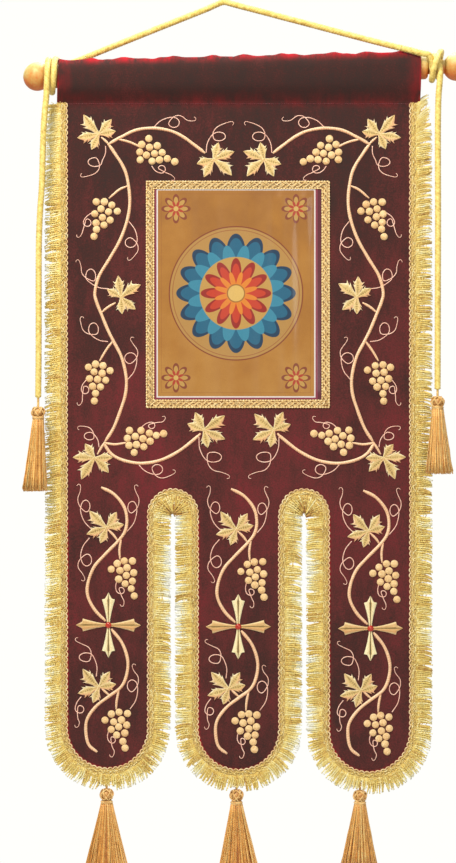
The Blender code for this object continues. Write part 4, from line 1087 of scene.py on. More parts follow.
def gimp_ground():
    """The braid's woven ground, a low strip along the edge of the cloth."""
    spots, aways, _reaches = walk(BRAID_WIDTH / 2, 0.005)
    rows = []
    for inward, height in GIMP_SECTION:
        rows.append(inside_edge(spots, aways, inward * MM, height * MM))
    run = lengths(rows[2])
    shape = Shape()
    side = np.linspace(-1, 1, len(rows))[:, None]
    shape.grid(np.array(rows), run[None], side, 0.4)
    back = [inside_edge(spots, aways, GIMP_SECTION[k][0] * MM, 0.0) for k in (0, -1)]
    shape.grid(np.array(back), run[None], turned=True)
    return shape.make("braid_ground", [looks["gimp ground"]])


def gimp_threads():
    """Crimped threads that cross on the braid, and the scalloped heading."""
    rng = np.random.default_rng(8)
    spots, aways, _reaches = walk(BRAID_WIDTH / 2, GIMP_STEP)
    run = lengths(spots)
    shape = Shape()
    tangent = unit(np.gradient(spots, axis=0))
    for inward, half in GIMP_ROWS:
        offset = inward * MM + half * MM * drift(run, 0.0030, rng)
        height = GIMP_LIFT + GIMP_LIFT_CHANGE * drift(run, 0.0026, rng)
        line = inside_edge(spots, aways, offset, height)
        slip = GIMP_SLIP * drift(run, 0.0034, rng)
        line[:, 0] += slip * tangent[:, 0]
        line[:, 2] += slip * tangent[:, 1]
        tone = 0.5 + 0.50 * drift(run, 0.0024, rng)
        # painted shade round each thread, lighter towards LIT_FROM
        shape.sweep(line, GIMP_RADIUS * (1 + 0.25 * drift(run, 0.003, rng)), 3, tone=tone[None], shade=0.14)
    made = shape.make("braid_threads", [looks["gimp"]])
    spots, aways, _reaches = walk(HEADING, SCALLOP_PITCH)
    t = np.linspace(0, 1, SCALLOP_POINTS)
    place = spots[:-1, None] + (spots[1:] - spots[:-1])[:, None] * t[:, None]
    away = unit(aways[:-1, None] + (aways[1:] - aways[:-1])[:, None] * t[:, None])
    bulge = SCALLOP_BULGE * rng.uniform(0.85, 1.15, (len(place), 1)) * np.sin(math.pi * t) ** 0.7
    height = SCALLOP_LIFT + SCALLOP_ARCH * np.sin(math.pi * t)
    lines = inside_edge(place, away, HEADING + bulge - SCALLOP_TUCK, height)
    shape = Shape()
    shape.sweep(lines, SCALLOP_RADIUS, 4, tone=rng.uniform(0.3, 0.8, len(lines)))
    heading = shape.make("braid_heading", [looks["scallop"]])
    return [made, heading]


# Velvet

LAPPET_CELLS = 34
SLOT_CELLS = 10
BODY_ROWS = 66
LAPPET_ROWS = 34
SLEEVE_STEP = 0.0062
SLEEVE_POINTS = 40
SLEEVE_FLANK = 0.80
RIPPLE = 0.0008
RIPPLE_PITCH = 0.031


def cloth_columns():
    """Column lines of the cloth: x, waist height, lowest height and lappet."""
    made = []
    for _name, step in LAPPETS:
        centre_x, centre_z = lappet_centre(step)
        for k in range(LAPPET_CELLS + 1):
            turn = math.pi * (k / LAPPET_CELLS - 0.5)
            x = centre_x + LAPPET_RADIUS * math.sin(turn)
            made.append((x, ARCH_SPRING_Z, centre_z - LAPPET_RADIUS * math.cos(turn), step))
        if step < 1:
            for k in range(1, SLOT_CELLS):
                turn = math.pi * k / SLOT_CELLS
                x = centre_x + LAPPET_PITCH / 2 - SLOT_RADIUS * math.cos(turn)
                waist = ARCH_SPRING_Z + SLOT_RADIUS * math.sin(turn)
                made.append((x, waist, waist, None))
    return made


def pucker(x):
    """Uneven gathers along the top of the sleeve."""
    u = x - BANNER_X
    sway = 0.9 * math.sin(TAU * u / 0.27 + 0.4)
    return PUCKER_HEIGHT * (0.64 + 0.27 * math.sin(TAU * u / PUCKER_PITCH + sway))


def sleeve_section(x):
    """Outer and inner points of the sleeve from the front seam over to the back seam."""
    half = CLOTH_THICKNESS / 2
    middle_z = rod_centre_z(x)
    side_y = SLEEVE_FLANK * SLEEVE_RADIUS
    side_z = 0.5 * (middle_z + SEAM_Z)
    rows = []
    for thick, start, low in ((CLOTH_THICKNESS, half, 0.0), (0.0, 0.0, 0.004)):
        points = [(-start, SEAM_Z + low), (-side_y - thick, side_z)]
        for angle in range(180, -1, -15):
            turn = math.radians(angle)
            ripple = RIPPLE * math.sin(TAU * x / RIPPLE_PITCH + 1.1 * math.sin(TAU * x / 0.11))
            reach = SLEEVE_RADIUS + thick + pucker(x) * math.sin(turn) ** 2 + ripple * math.sin(turn)
            points.append((reach * math.cos(turn), middle_z + reach * math.sin(turn)))
        points += [(side_y + thick, side_z), (start, SEAM_Z + low)]
        line = smooth(points, SLEEVE_STEP)
        share = lengths(line) / lengths(line)[-1]
        steps = np.linspace(0, 1, SLEEVE_POINTS)
        rows.append(np.stack([np.interp(steps, share, line[:, k]) for k in range(2)], axis=1))
    return rows


def add_sleeve(shape, columns):
    """The sleeve over the rod, with its hemmed open ends."""
    skins = [[], []]
    rank = np.arange(SLEEVE_POINTS)
    near_seam = np.exp(-rank / 3.0) + np.exp((rank - SLEEVE_POINTS + 1) / 3.0)
    arch = np.sin(math.pi * np.linspace(0, 1, SLEEVE_POINTS))
    for column in columns:
        x = column[0]
        near = 1 - float(ease(x - (BANNER_X - HALF_WIDTH), 0.0, 0.08))
        pull = SLEEVE_PULL * near * arch
        for skin, line in zip(skins, sleeve_section(x)):
            y = line[:, 0] + float(wrinkle(x, SEAM_Z)) * near_seam
            skin.append(np.stack([x + pull, y, line[:, 1]], axis=1))
    outer, inner = (np.array(skin) for skin in skins)
    rise = outer[..., 2] - rod_centre_z(outer[..., 0])
    end = np.minimum(outer[:, :1, 0] - outer[0, 0, 0], outer[-1, 0, 0] - outer[:, :1, 0])
    # painted sheen: the tone is raised on the sleeve's crest, at its open ends and just above the seam, and
    # the velvet paints it bright red
    gleam = np.maximum(1.50 * ease(rise, 0.012, 0.031), 0.95 * (1 - ease(end, 0.001, 0.005)))
    gleam = np.maximum(gleam, 0.40 * (1 - ease(end, 0.000, 0.034)))
    gleam = np.maximum(gleam, 0.22 * (1 - ease(outer[..., 2] - SEAM_Z, 0.0, 0.024)))
    shape.grid(outer, 0.0, 1.0, gleam, turned=True)
    shape.grid(inner, look=1)
    for row, turned in ((0, False), (-1, True)):
        shape.grid(np.array([outer[row], inner[row]]), turned=turned)
        corner = np.array([outer[row][0], outer[row][-1], inner[row][0]])
        shape.add(corner, [(0, 2, 1) if turned else (0, 1, 2)])


def edge_distance(x, z):
    """Distance in from the cloth's sides, slots and round ends."""
    near = HALF_WIDTH - np.abs(x - BANNER_X)
    for slot_x in (BANNER_X - LAPPET_PITCH / 2, BANNER_X + LAPPET_PITCH / 2):
        above = np.maximum(z - ARCH_SPRING_Z, 0.0)
        near = np.minimum(near, np.hypot(x - slot_x, above) - SLOT_RADIUS)
    for _name, step in LAPPETS:
        centre_x, centre_z = lappet_centre(step)
        here = (np.abs(x - centre_x) <= LAPPET_RADIUS + 0.001) & (z < centre_z)
        near = np.where(here, np.minimum(near, LAPPET_RADIUS - np.hypot(x - centre_x, z - centre_z)), near)
    return near


def velvet():
    """The cloth: body, slots, lappets and sleeve as one sheet."""
    columns = cloth_columns()
    rows = BODY_ROWS + LAPPET_ROWS
    shape = Shape()
    numbers = {}
    faces = []
    for i, (x, waist, lowest, _lappet) in enumerate(columns):
        for j in range(rows + 1):
            if j <= BODY_ROWS:
                z = SEAM_Z + (waist - SEAM_Z) * j / BODY_ROWS
            else:
                z = waist + (lowest - waist) * (j - BODY_ROWS) / LAPPET_ROWS
            if j > BODY_ROWS and lowest == waist:
                break
            numbers[(i, j)] = (len(numbers), x, z)
    for i in range(len(columns) - 1):
        in_lappet = columns[i][3] is not None and columns[i][3] == columns[i + 1][3]
        for j in range(rows if in_lappet else BODY_ROWS):
            keys = ((i, j), (i + 1, j), (i + 1, j + 1), (i, j + 1))
            faces.append([numbers[key][0] for key in keys])
    faces = np.array(faces)
    held = np.array(list(numbers.values()))
    face_points = front(held[:, 1], held[:, 2])
    back_points = front(held[:, 1], held[:, 2], -CLOTH_THICKNESS)
    edges = np.concatenate([faces[:, [0, 1]], faces[:, [1, 2]], faces[:, [2, 3]], faces[:, [3, 0]]])
    keys = np.sort(edges, axis=1)
    _unique, first, count = np.unique(keys, axis=0, return_index=True, return_counts=True)
    rim = edges[first[count == 1]]
    rim = rim[~(np.isclose(held[rim[:, 0], 2], SEAM_Z) & np.isclose(held[rim[:, 1], 2], SEAM_Z))]
    size = len(held)
    x, z = held[:, 1], held[:, 2]
    step = np.clip(np.round((x - BANNER_X) / LAPPET_PITCH), -1, 1)
    lappet_side = np.clip((x - BANNER_X - step * LAPPET_PITCH) / LAPPET_RADIUS, -1, 1)
    side_share = np.where(z < ARCH_SPRING_Z, lappet_side, 0.8)
    # painted sheen: a faint red band just below the seam
    gleam = 0.22 * (1 - ease(SEAM_Z - z, 0.0, 0.014))
    shape.add(np.vstack([face_points, back_points]), faces[:, ::-1], np.tile(side_share, 2),
              np.tile(edge_distance(x, z), 2), np.tile(gleam, 2))
    shape.faces.append(faces + size)
    shape.looks.append(np.full(len(faces), 1))
    shape.faces.append(np.stack([rim[:, 0], rim[:, 1], rim[:, 1] + size, rim[:, 0] + size], axis=1))
    shape.looks.append(np.full(len(rim), 0))
    add_sleeve(shape, columns)
    return shape.make("velvet", [looks["velvet"], looks["backing"]], "velvet_banner",
                      sharp=60, weld=True)


STITCH_PITCH = 0.0034
STITCH_LENGTH = 0.0024
STITCH_RADIUS = 0.00035
STITCH_BOW = 0.0003
STITCH_DROP = 0.0016
SEAM_MARGIN = 0.004


def seam_stitches():
    """Short stitches along the seam under the sleeve, front and back."""
    rng = np.random.default_rng(3)
    count = round(2 * (HALF_WIDTH - SEAM_MARGIN) / STITCH_PITCH)
    x = BANNER_X - HALF_WIDTH + SEAM_MARGIN + STITCH_PITCH * np.arange(count)
    t = np.linspace(0, 1, 4)
    shape = Shape()
    for height, sign in ((0.0002, 1), (-CLOTH_THICKNESS - 0.0002, -1)):
        spread = x[:, None] + STITCH_LENGTH * t
        z = np.full(spread.shape, SEAM_Z - STITCH_DROP) + rng.normal(0, 0.0001, (count, 1))
        points = front(spread, z, height)
        points[..., 1] -= sign * STITCH_BOW * np.sin(math.pi * t)
        shape.sweep(points, STITCH_RADIUS, 4, tone=rng.uniform(0.2, 0.9, count))
    return shape.make("seam_stitches", [looks["seam"]])


# Needlework

STEM_HALF_WIDTH = 0.0029
STEM_HEIGHT = 0.0022
STALK_HALF_WIDTH = 0.0022
STALK_HEIGHT = 0.0019
TENDRIL_RADIUS = 0.00084
TENDRIL_SOFTENING = 0.0085
TENDRIL_LOW = 0.0002
TENDRIL_RISE = 0.0006

# x and z of the vine scroll's left half
SCROLL_VINE = (
    ((-34, -267), (-51, -254), (-73, -238), (-96, -227), (-127, -222), (-158, -225.5),
     (-187, -239), (-208, -251)),
    ((-209, -250), (-204, -256), (-196, -268), (-183, -288), (-174.5, -310), (-169.5, -349),
     (-173, -383), (-186, -421), (-205, -455), (-225, -488), (-232.5, -517), (-230, -533),
     (-221, -556), (-209, -585), (-198, -607), (-184, -635), (-176, -670), (-177, -699),
     (-186, -729), (-199, -762), (-214, -786)),
    ((-217, -788), (-203, -808), (-180, -820), (-147, -825), (-113, -819), (-81, -803), (-50, -779),
     (-42, -771)),
)
SCROLL_STALKS = (
    ((-190, -242), (-170, -247), (-148, -257)), ((-174, -326), (-189, -333), (-207, -348)),
    ((-195, -536), (-209, -544), (-221, -554)), ((-200, -605), (-212, -621), (-224, -641)),
    ((-217, -788), (-197, -791), (-176, -788)),
    ((-221, -238), (-214, -244), (-206, -252)), ((-213, -785), (-221, -797), (-228, -809)),
)
# x and z of a leaf's middle, its reach, the angle of its tip and 1 or -1 for the way it is turned over
SCROLL_LEAVES = (
    (-225.0, -232.5, 43.2, 129, 1), (-18.5, -278.3, 44.0, -42, 1), (-185.0, -526.0, 42.0, 34, 1),
    (-232.9, -815.8, 44.0, 239, -1), (-35.8, -765.2, 45.0, 38, -1),
)
# x and z of the stalk's end, angle of the tip, and 1 or -1 for the way the bunch bends
SCROLL_BUNCHES = (
    (-149.0, -261.0, -14, 1), (-212.1, -357.5, -105, 1), (-227.4, -649.5, -90, 1),
    (-171.2, -784.0, 6, -1),
)
# base, crossing, middle of the loop, its half sizes, way round, then bend and two end points
SCROLL_TENDRILS = (
    ((-126, -220), (-99, -203), (-90, -212), (10, 9), -1, (-86, -193), (-66, -208), (-54, -209)),
    ((-32, -266), (-22, -235), (-9, -237), (12, 8), -1, (-23, -225), (0, -214), (13, -210)),
    ((-213, -254), (-219, -280), (-232, -283), (13, 8), -1, (-219, -295), (-238, -306), (-254, -310)),
    ((-130, -290), (-118, -302), (-112, -296), (7, 7), 1, (-106, -302), (-97, -305), (-90, -310)),
    ((-238, -374), (-253, -390), (-246, -392), (7, 7), 1, (-253, -402), (-255, -410), (-259, -417)),
    ((-171, -390), (-156, -422), (-168, -428), (10, 9), -1, (-149, -434), (-161, -452), (-168, -459)),
    ((-207, -511), (-242, -499), (-240, -488), (9, 13), -1, (-256, -490), (-257, -472), (-260, -461)),
    ((-209, -606), (-237, -596), (-235, -584), (9, 12), -1, (-251, -594), (-257, -576), (-259, -565)),
    ((-248, -675), (-257, -692), (-250, -693), (7, 7), 1, (-255, -703), (-255, -713), (-258, -719)),
    ((-173, -674), (-157, -643), (-168, -636), (11, 10), 1, (-149, -631), (-163, -611), (-168, -603)),
    ((-225, -796), (-233, -774), (-242, -776), (10, 7), 1, (-234, -765), (-248, -759), (-260, -758)),
    ((-149, -761), (-132, -751), (-130, -757), (6, 6), -1, (-121, -751), (-111, -751), (-106, -746)),
    ((-155, -825), (-130, -844), (-120, -836), (10, 9), 1, (-122, -854), (-101, -849), (-89, -843)),
    ((-45, -778), (-35, -816), (-19, -814), (15, 9), 1, (-31, -835), (-5, -841), (8, -846)),
)
# the same on a lappet, from the middle of its cross
LAPPET_CROSS_Z = -1.1191
LAPPET_CROSS_X = (-0.2081, 0.0256, 0.2635)
LAPPET_CROSS_STEP_Z = -0.0029
UPPER_STEM = (
    (-13.0, 248.0), (10.0, 235.5), (28.0, 213.5), (33.5, 190.0), (30.0, 168.5), (17.0, 150.5),
    (-6.0, 127.0), (-26.0, 104.0), (-37.0, 75.0), (-37.0, 51.5), (-24.5, 27.0), (-5.0, 7.0),
)
LOWER_STEM = (
    (5.0, -7.0), (25.0, -33.0), (35.0, -63.5), (32.5, -91.5), (22.5, -112.0), (1.0, -128.5),
    (-22.0, -146.5), (-38.5, -170.0), (-40.5, -195.0), (-35.0, -216.5), (-20.0, -229.0),
)
LAPPET_STALKS = (
    ("upper", ((23, 154), (20, 136), (21, 118))), ("upper", ((-1, 172), (10, 161), (17, 151))),
    ("lower", ((19, -117), (15, -136), (14, -152))), ("lower", ((-14, -112), (-7, -119), (2, -127))),
)
LAPPET_LEAVES = (("upper", -3.1, 175.1, 42.5, 134), ("lower", -17.1, -112.0, 43.0, 134))
LAPPET_BUNCHES = (("upper", 25.0, 112.8, -75), ("lower", 15.1, -159.5, -82))
LAPPET_TENDRILS = (
    ((-30, 172), (-50, 204), (-41, 214), (8, 11), -1, (-59, 218), (-51, 240), (-50, 250)),
    ((34, 169), (51, 202), (43, 212), (8, 11), 1, (60, 217), (50, 239), (47, 248)),
    ((-34, 157), (-50, 126), (-39, 117), (9, 11), 1, (-61, 112), (-47, 93), (-42.5, 84)),
    ((15, 79), (15, 60), (23, 62), (6, 6), 1, (23, 53), (28, 44), (28, 37)),
    ((-22, -93), (-26, -59), (-40, -58), (13, 8), 1, (-27, -44), (-46, -35), (-58, -29)),
    ((39, -151), (53, -116), (43, -109), (9, 11), 1, (60, -100), (46, -82), (43, -74)),
    ((-49, -129), (-60, -152), (-51, -152), (7, 7), 1, (-57, -166), (-52, -175), (-54, -182)),
    ((1, -190), (-1, -206), (7, -207), (6, 6), 1, (5, -217), (11, -227), (9, -235)),
)
# radius of a tendril's hooked end in millimetres, and how it draws in
HOOK_RADIUS = 4.0
HOOK_SHARES = np.array(((1.0,), (0.85,), (0.75,)))
HOOK_ANGLES = (60, 120, 185)
LOOP_ANGLES = (62, 122, 180, 238, 298)


def placed(rows, middle, mirrored=False):
    """Rows of x and z in millimetres, from a middle, as places on the cloth."""
    rows = np.array(rows, float) * MM
    rows[..., 0] *= -1 if mirrored else 1
    return rows + middle


def stem(shape, rows, middle, mirrored=False, width=STEM_HALF_WIDTH, height=STEM_HEIGHT):
    """A padded stem in satin stitch along a smooth line."""
    line = evenly(smooth(placed(rows, middle, mirrored), 0.004), 0.0026)
    run = lengths(line)
    path = front(line[:, 0], line[:, 1])
    end = np.minimum(run, run[-1] - run)
    radius = width * (0.62 + 0.38 * ease(end, 0.0, 0.010)) * (1 + 0.05 * np.sin(TAU * run / 0.043))
    # painted shade: the stem is lighter on the side facing LIT_FROM and orange-brown on the lower edge
    shape.sweep(path, radius, 12, flat=height / width, tone=0.5, shade=0.42)


def tendril_line(base, cross, loop, sizes, way, bend, near_end, end):
    """Points of a tendril: up to its loop, once round it, and out to a hooked end."""
    given = (base, cross, loop, bend, near_end, end)
    base, cross, loop, bend, near_end, end = np.array(given, float)
    half = np.array(sizes, float)
    start = math.atan2((cross[1] - loop[1]) / half[1], (cross[0] - loop[0]) / half[0])
    turns = start + way * np.radians(LOOP_ANGLES)
    ring = loop + half * bearing(turns)
    lead = 0.5 * (base + cross) + 0.10 * way * np.array((cross[1] - base[1], base[0] - cross[0]))
    heading = unit(end - near_end)
    bow = math.copysign(1.0, heading[0] * (near_end - bend)[1] - heading[1] * (near_end - bend)[0])
    centre = end + bow * -HOOK_RADIUS * np.array((-heading[1], heading[0]))
    first = math.atan2(end[1] - centre[1], end[0] - centre[0])
    hook = first - bow * np.radians(HOOK_ANGLES)
    curl = centre + HOOK_RADIUS * HOOK_SHARES * bearing(hook)
    before, after = 0.5 * (ring[-1] + bend), 0.5 * (bend + near_end)
    corner = 0.64 * bend + 0.18 * (ring[-1] + near_end)
    return np.vstack([base, lead, cross, ring, before, corner, after, near_end, end, curl])


def tendrils(name, rows, middle, mirrored=False):
    """All tendrils of one motif in one mesh."""
    shape = Shape()
    for row in rows:
        line = placed(tendril_line(*row), middle, mirrored)
        line = evenly(soften(evenly(smooth(line, 0.0010), 0.0008), TENDRIL_SOFTENING), 0.0014)
        run = lengths(line)
        radius = TENDRIL_RADIUS * (1.0 - 0.35 * ease(run / run[-1], 0.7, 1.0))
        height = TENDRIL_LOW + TENDRIL_RISE * ease(run / run[-1], 0.25, 0.40)
        path = front(line[:, 0], line[:, 1], height)
        # painted shade round each tendril, lighter towards LIT_FROM
        shape.sweep(path, radius, 6, flat=0.9, tone=0.5, shade=0.25)
    return shape.make(name, [looks["tendril"]])


# share of the lobe's length, half width and how far its edge reaches forward
LOBE_ROWS = (
    (0.00, 0.050, 0.00), (0.15, 0.088, 0.00), (0.25, 0.122, 0.04), (0.31, 0.175, 0.11),
    (0.37, 0.275, 0.24), (0.43, 0.205, 0.13), (0.47, 0.180, 0.08), (0.51, 0.205, 0.12),
    (0.56, 0.280, 0.22), (0.61, 0.195, 0.11), (0.68, 0.158, 0.05), (0.83, 0.105, 0.02),
    (1.00, 0.012, 0.00),
)
LOBE_SIDES = np.array((-1.0, -0.88, -0.66, -0.36, -0.12, 0.0, 0.12, 0.36, 0.66, 0.88, 1.0))
LOBE_HEIGHTS = np.array((0.15, 0.86, 1.0, 0.86, 0.72, 0.60, 0.72, 0.86, 1.0, 0.86, 0.15))
# share of the leaf's reach, angle from the tip, and fullness of the lobe's two sides
LEAF_LOBES = (
    (1.00, 0, 0.75, 1.30), (0.91, 62, 0.80, 1.00), (0.70, 116, 0.85, 0.90), (0.72, -121, 0.95, 0.80),
    (0.81, -77, 1.00, 0.80),
)
LEAF_HEIGHT = 0.0024
RIB_DOT_PITCH = 0.0040


def leaf(name, centre, size, tip_angle, way, mirrored, seed):
    """A vine leaf of five toothed lobes, each in two halves of satin stitch."""
    rng = np.random.default_rng(seed)
    shape = Shape()
    mirror = -1 if mirrored else 1
    table = np.array(LOBE_ROWS)
    u = np.interp(np.linspace(0, 1, 25), np.linspace(0, 1, len(table)), table[:, 0])
    half = np.interp(u, table[:, 0], table[:, 1])
    ahead = np.interp(u, table[:, 0], table[:, 2])
    side = LOBE_SIDES[None]
    for share, angle, low_side, high_side in LEAF_LOBES:
        turn = math.radians(tip_angle + way * angle)
        reach = share * size * rng.uniform(0.97, 1.03)
        bend = rng.uniform(-0.05, 0.05)
        full = np.where(side < 0, low_side, high_side)
        along = reach * (u[:, None] + ahead[:, None] * np.abs(side) ** 2)
        wide = way * (size * full * half[:, None] * side + bend * reach * u[:, None] ** 2)
        x, z = laid(centre, along, wide, turn, mirror)
        rise = (0.55 + 0.45 * ease(u, 0.05, 0.35) - 0.35 * ease(u, 0.75, 1.0))[:, None]
        height = LEAF_HEIGHT * LOBE_HEIGHTS[None] * rise
        run = along + 0.9 * np.abs(wide)
        edge = ease(np.abs(side), 0.60, 0.88)
        rib = 1 - ease(np.abs(side), 0.05, 0.30)
        dots = 0.5 + 0.5 * np.sin(TAU * along / RIB_DOT_PITCH)
        tone = 0.36 + 0.50 * edge - (0.06 + 0.34 * dots) * rib + rng.uniform(-0.04, 0.04)
        # painted shade: lobe edges turned away from the light get an orange-brown tint
        outward = np.sign(side) * way * (-mirror * math.sin(turn) * 0.35 - math.cos(turn) * 0.94)
        painted_warm_shade = 0.85 * np.maximum(outward, 0.0) * ease(np.abs(side), 0.25, 0.85)
        shape.grid(front(x, z, height), run, painted_warm_shade, tone, turned=way * mirror > 0)
    shape.make(name, [looks["leaf"]], name)


# across and along a bunch, in millimetres from the end of its stalk
GRAPES = (
    (-18.3, 2.4), (-4.4, -2.1), (9.6, -0.8), (22.8, 8.0), (-6.4, 11.6), (8.0, 13.2), (-15.2, 23.4),
    (-0.6, 25.0), (14.4, 26.6), (-9.0, 37.0), (5.2, 38.2), (-4.4, 50.0), (-6.0, 63.4),
)
GRAPE_RADIUS = 0.0067
GRAPE_HEIGHT = 0.0036
GRAPE_SLOPES = np.radians((0, 12, 28, 46, 64, 80, 90))


def bunch(name, head, tip_angle, way, mirrored, seed):
    """A bunch of grapes: round padded spots in satin stitch."""
    rng = np.random.default_rng(seed)
    shape = Shape()
    mirror = -1 if mirrored else 1
    turn = math.radians(tip_angle)
    ring = TAU * np.arange(18) / 18
    for across, down in GRAPES:
        across = way * (across + rng.normal(0, 0.5)) * MM
        down = (down + rng.normal(0, 0.5)) * MM
        x, z = laid(head, down, across, turn, mirror)
        radius = GRAPE_RADIUS * rng.uniform(0.96, 1.04)
        stitch = rng.uniform(0, math.pi)
        reach = radius * np.cos(GRAPE_SLOPES)[:, None]
        dx = reach * np.cos(ring)
        dz = reach * np.sin(ring)
        height = GRAPE_HEIGHT * np.sin(GRAPE_SLOPES)[:, None] ** 0.8 + 0 * dx
        run = dx * math.cos(stitch) + dz * math.sin(stitch)
        edge = 1 - ease(GRAPE_SLOPES, 0.15, 0.9)[:, None]
        # painted shade: each grape is toned darker on its lower side
        low = np.maximum(0.0, -np.sin(ring)) * np.cos(GRAPE_SLOPES)[:, None]
        tone = 0.52 + 0.22 * edge - 0.42 * low + rng.uniform(-0.10, 0.10) + 0 * dx
        shape.grid(front(x + dx, z + dz, height), run, 0.0, tone, closed=True)
    shape.make(name, [looks["grape"]], name)


# distance along the arm from the cross's middle and half width, in millimetres
ARM_ROWS = (
    (4.0, 3.0), (10.0, 3.2), (22.0, 5.4), (34.0, 8.2), (45.0, 11.4), (46.2, 11.7), (47.4, 6.2),
    (52.0, 3.6), (56.0, 1.6), (58.5, 0.1),
)
ARM_SIDES = np.array((-1.0, -0.86, -0.55, -0.25, -0.11, 0.0, 0.11, 0.25, 0.55, 0.86, 1.0))
ARM_HEIGHTS = np.array((0.10, 0.75, 1.0, 0.95, 0.75, 0.30, 0.75, 0.95, 1.0, 0.75, 0.10))
ARM_HEIGHT = 0.0027


def cross(name, centre):
    """A cross of four flared, barbed arms, each stitched in two halves."""
    shape = Shape()
    table = np.array(ARM_ROWS) * MM
    side = ARM_SIDES[None]
    for k in range(4):
        turn = math.pi / 2 * k
        along = table[:, :1] + 0 * side
        wide = table[:, 1:] * side
        x, z = laid(centre, along, wide, turn)
        rise = np.interp(table[:, 0], (0.004, 0.012, 0.046, 0.0585), (0.7, 1.0, 1.0, 0.55))[:, None]
        # painted light: upright arms are toned paler and level arms orange, for how the satin catches the
        # light by stitch direction; edges turned away from the light get orange-brown painted shade
        upright = k % 2
        rib = (1.0 if upright else 0.45) * (1 - ease(np.abs(side), 0.08, 0.25))
        edge = ease(np.abs(side), 0.55, 0.86)
        tone = (0.80 if upright else 0.50) + 0.25 * edge - 0.85 * rib
        outward = np.sign(side) * (-math.sin(turn) * 0.30 - math.cos(turn) * 0.95)
        base, more = (0.0, 0.20) if upright else (0.40, 0.35)
        painted_warm_shade = base + more * np.maximum(outward, 0.0)
        painted_warm_shade = painted_warm_shade * ease(np.abs(side), 0.11, 0.4) * (1 - 0.6 * edge)
        height = ARM_HEIGHT * ARM_HEIGHTS[None] * rise
        shape.grid(front(x, z, height), along + 0.35 * np.abs(wide), painted_warm_shade, tone, turned=True)
    shape.make(name, [looks["cross"]], name)


STONE_RADIUS = 0.0055
STONE_FOOT = 0.0012
STONE_EDGE = 0.0026
STONE_DOME = 0.0036
STONE_SLOPES = (0, 10, 25, 42, 60, 76, 90)


def stone(name, centre):
    """A round red stone on the middle of a cross."""
    shape = Shape()
    ring = TAU * np.arange(28) / 28
    section = [(STONE_RADIUS, STONE_FOOT)]
    for slope in np.radians(STONE_SLOPES):
        section.append((STONE_RADIUS * math.cos(slope), STONE_EDGE + STONE_DOME * math.sin(slope)))
    rows = []
    for reach, height in section:
        rows.append(front(centre[0] + reach * np.cos(ring), centre[1] + reach * np.sin(ring), height))
    shape.grid(np.array(rows), closed=True)
    shape.make(name, [looks["stone"]], name)


def needlework():
    """The vine scroll, its mirror image and the motifs on the lappets."""
    seed = 100
    for name, mirrored in (("left", False), ("right", True)):
        middle = np.array((2 * MIRROR_X if mirrored else 0.0, 0.0))
        shape = Shape()
        for rows in SCROLL_VINE:
            stem(shape, rows, middle, mirrored)
        for rows in SCROLL_STALKS:
            stem(shape, rows, middle, mirrored, STALK_HALF_WIDTH, STALK_HEIGHT)
        shape.make("vine_" + name, [looks["stem"]], "vine_" + name)
        tendrils("tendrils_" + name, SCROLL_TENDRILS, middle, mirrored)
        for k, (x, z, size, angle, way) in enumerate(SCROLL_LEAVES, 1):
            seed += 1
            spot = placed((x, z), middle, mirrored)
            leaf(f"leaf_{name}_{k}", spot, size * MM, angle, way, mirrored, seed)
        for k, (x, z, angle, way) in enumerate(SCROLL_BUNCHES, 1):
            seed += 1
            bunch(f"bunch_{name}_{k}", placed((x, z), middle, mirrored), angle, way, mirrored, seed)
    for (name, step), cross_x in zip(LAPPETS, LAPPET_CROSS_X):
        middle = np.array((cross_x, LAPPET_CROSS_Z + step * LAPPET_CROSS_STEP_Z))
        for part, rows in (("upper", UPPER_STEM), ("lower", LOWER_STEM)):
            shape = Shape()
            stem(shape, rows, middle)
            for owner, stalk in LAPPET_STALKS:
                if owner == part:
                    stem(shape, stalk, middle, False, STALK_HALF_WIDTH, STALK_HEIGHT)
            stem_name = f"stem_{name}_{part}"
            shape.make(stem_name, [looks["stem"]], stem_name)
        cross("cross_" + name, middle)
        stone("stone_" + name, middle)
        tendrils("tendrils_lappet_" + name, LAPPET_TENDRILS, middle)
        for part, x, z, size, angle in LAPPET_LEAVES:
            seed += 1
            leaf(f"leaf_{name}_{part}", placed((x, z), middle), size * MM, angle, 1, False, seed)
        for part, x, z, angle in LAPPET_BUNCHES:
            seed += 1
            bunch(f"bunch_{name}_{part}", placed((x, z), middle), angle, -1, False, seed)


# Picture

# the white line inside the panel: its middle from the panel's, and half its size
PRINT_LINE = (-0.0034, 0.0020, 0.1411, 0.1858)
# how sharply one painted colour ends on the next
EDGE_GAIN = 900.0
# number of petals, inner and outer reach, turn, fullness and colour; a disk has no petals
ROSETTE = (
    (16, 0.084, 0.108, 0.0, 0.8, (0.010, 0.040, 0.085)),
    (16, 0.074, 0.100, 0.0, 0.8, (0.014, 0.115, 0.200)),
    (16, 0.062, 0.088, math.pi / 2, 1.0, (0.040, 0.230, 0.330)),
    (0, 0.0, 0.0660, 0.0, 1.0, (0.50, 0.290, 0.070)),
    (12, 0.036, 0.0640, 0.0, 0.9, (0.290, 0.018, 0.010)),
    (12, 0.028, 0.0540, 0.0, 1.1, (0.520, 0.045, 0.015)),
    (12, 0.018, 0.0400, math.pi / 2, 1.4, (0.690, 0.220, 0.022)),
    (0, 0.0, 0.0170, 0.0, 1.0, (0.30, 0.130, 0.025)),
    (0, 0.0, 0.0150, 0.0, 1.0, (0.68, 0.440, 0.120)),
)
CORNER_ROSETTE = (
    (8, 0.012, 0.0270, 0.0, 0.7, (0.22, 0.050, 0.018)),
    (8, 0.008, 0.0220, 0.0, 0.9, (0.50, 0.290, 0.070)),
    (8, 0.005, 0.0150, math.pi / 2, 1.2, (0.40, 0.045, 0.018)),
    (0, 0.0, 0.0050, 0.0, 1.0, (0.60, 0.400, 0.110)),
)
CORNER_X = 0.108
CORNER_Z = 0.152
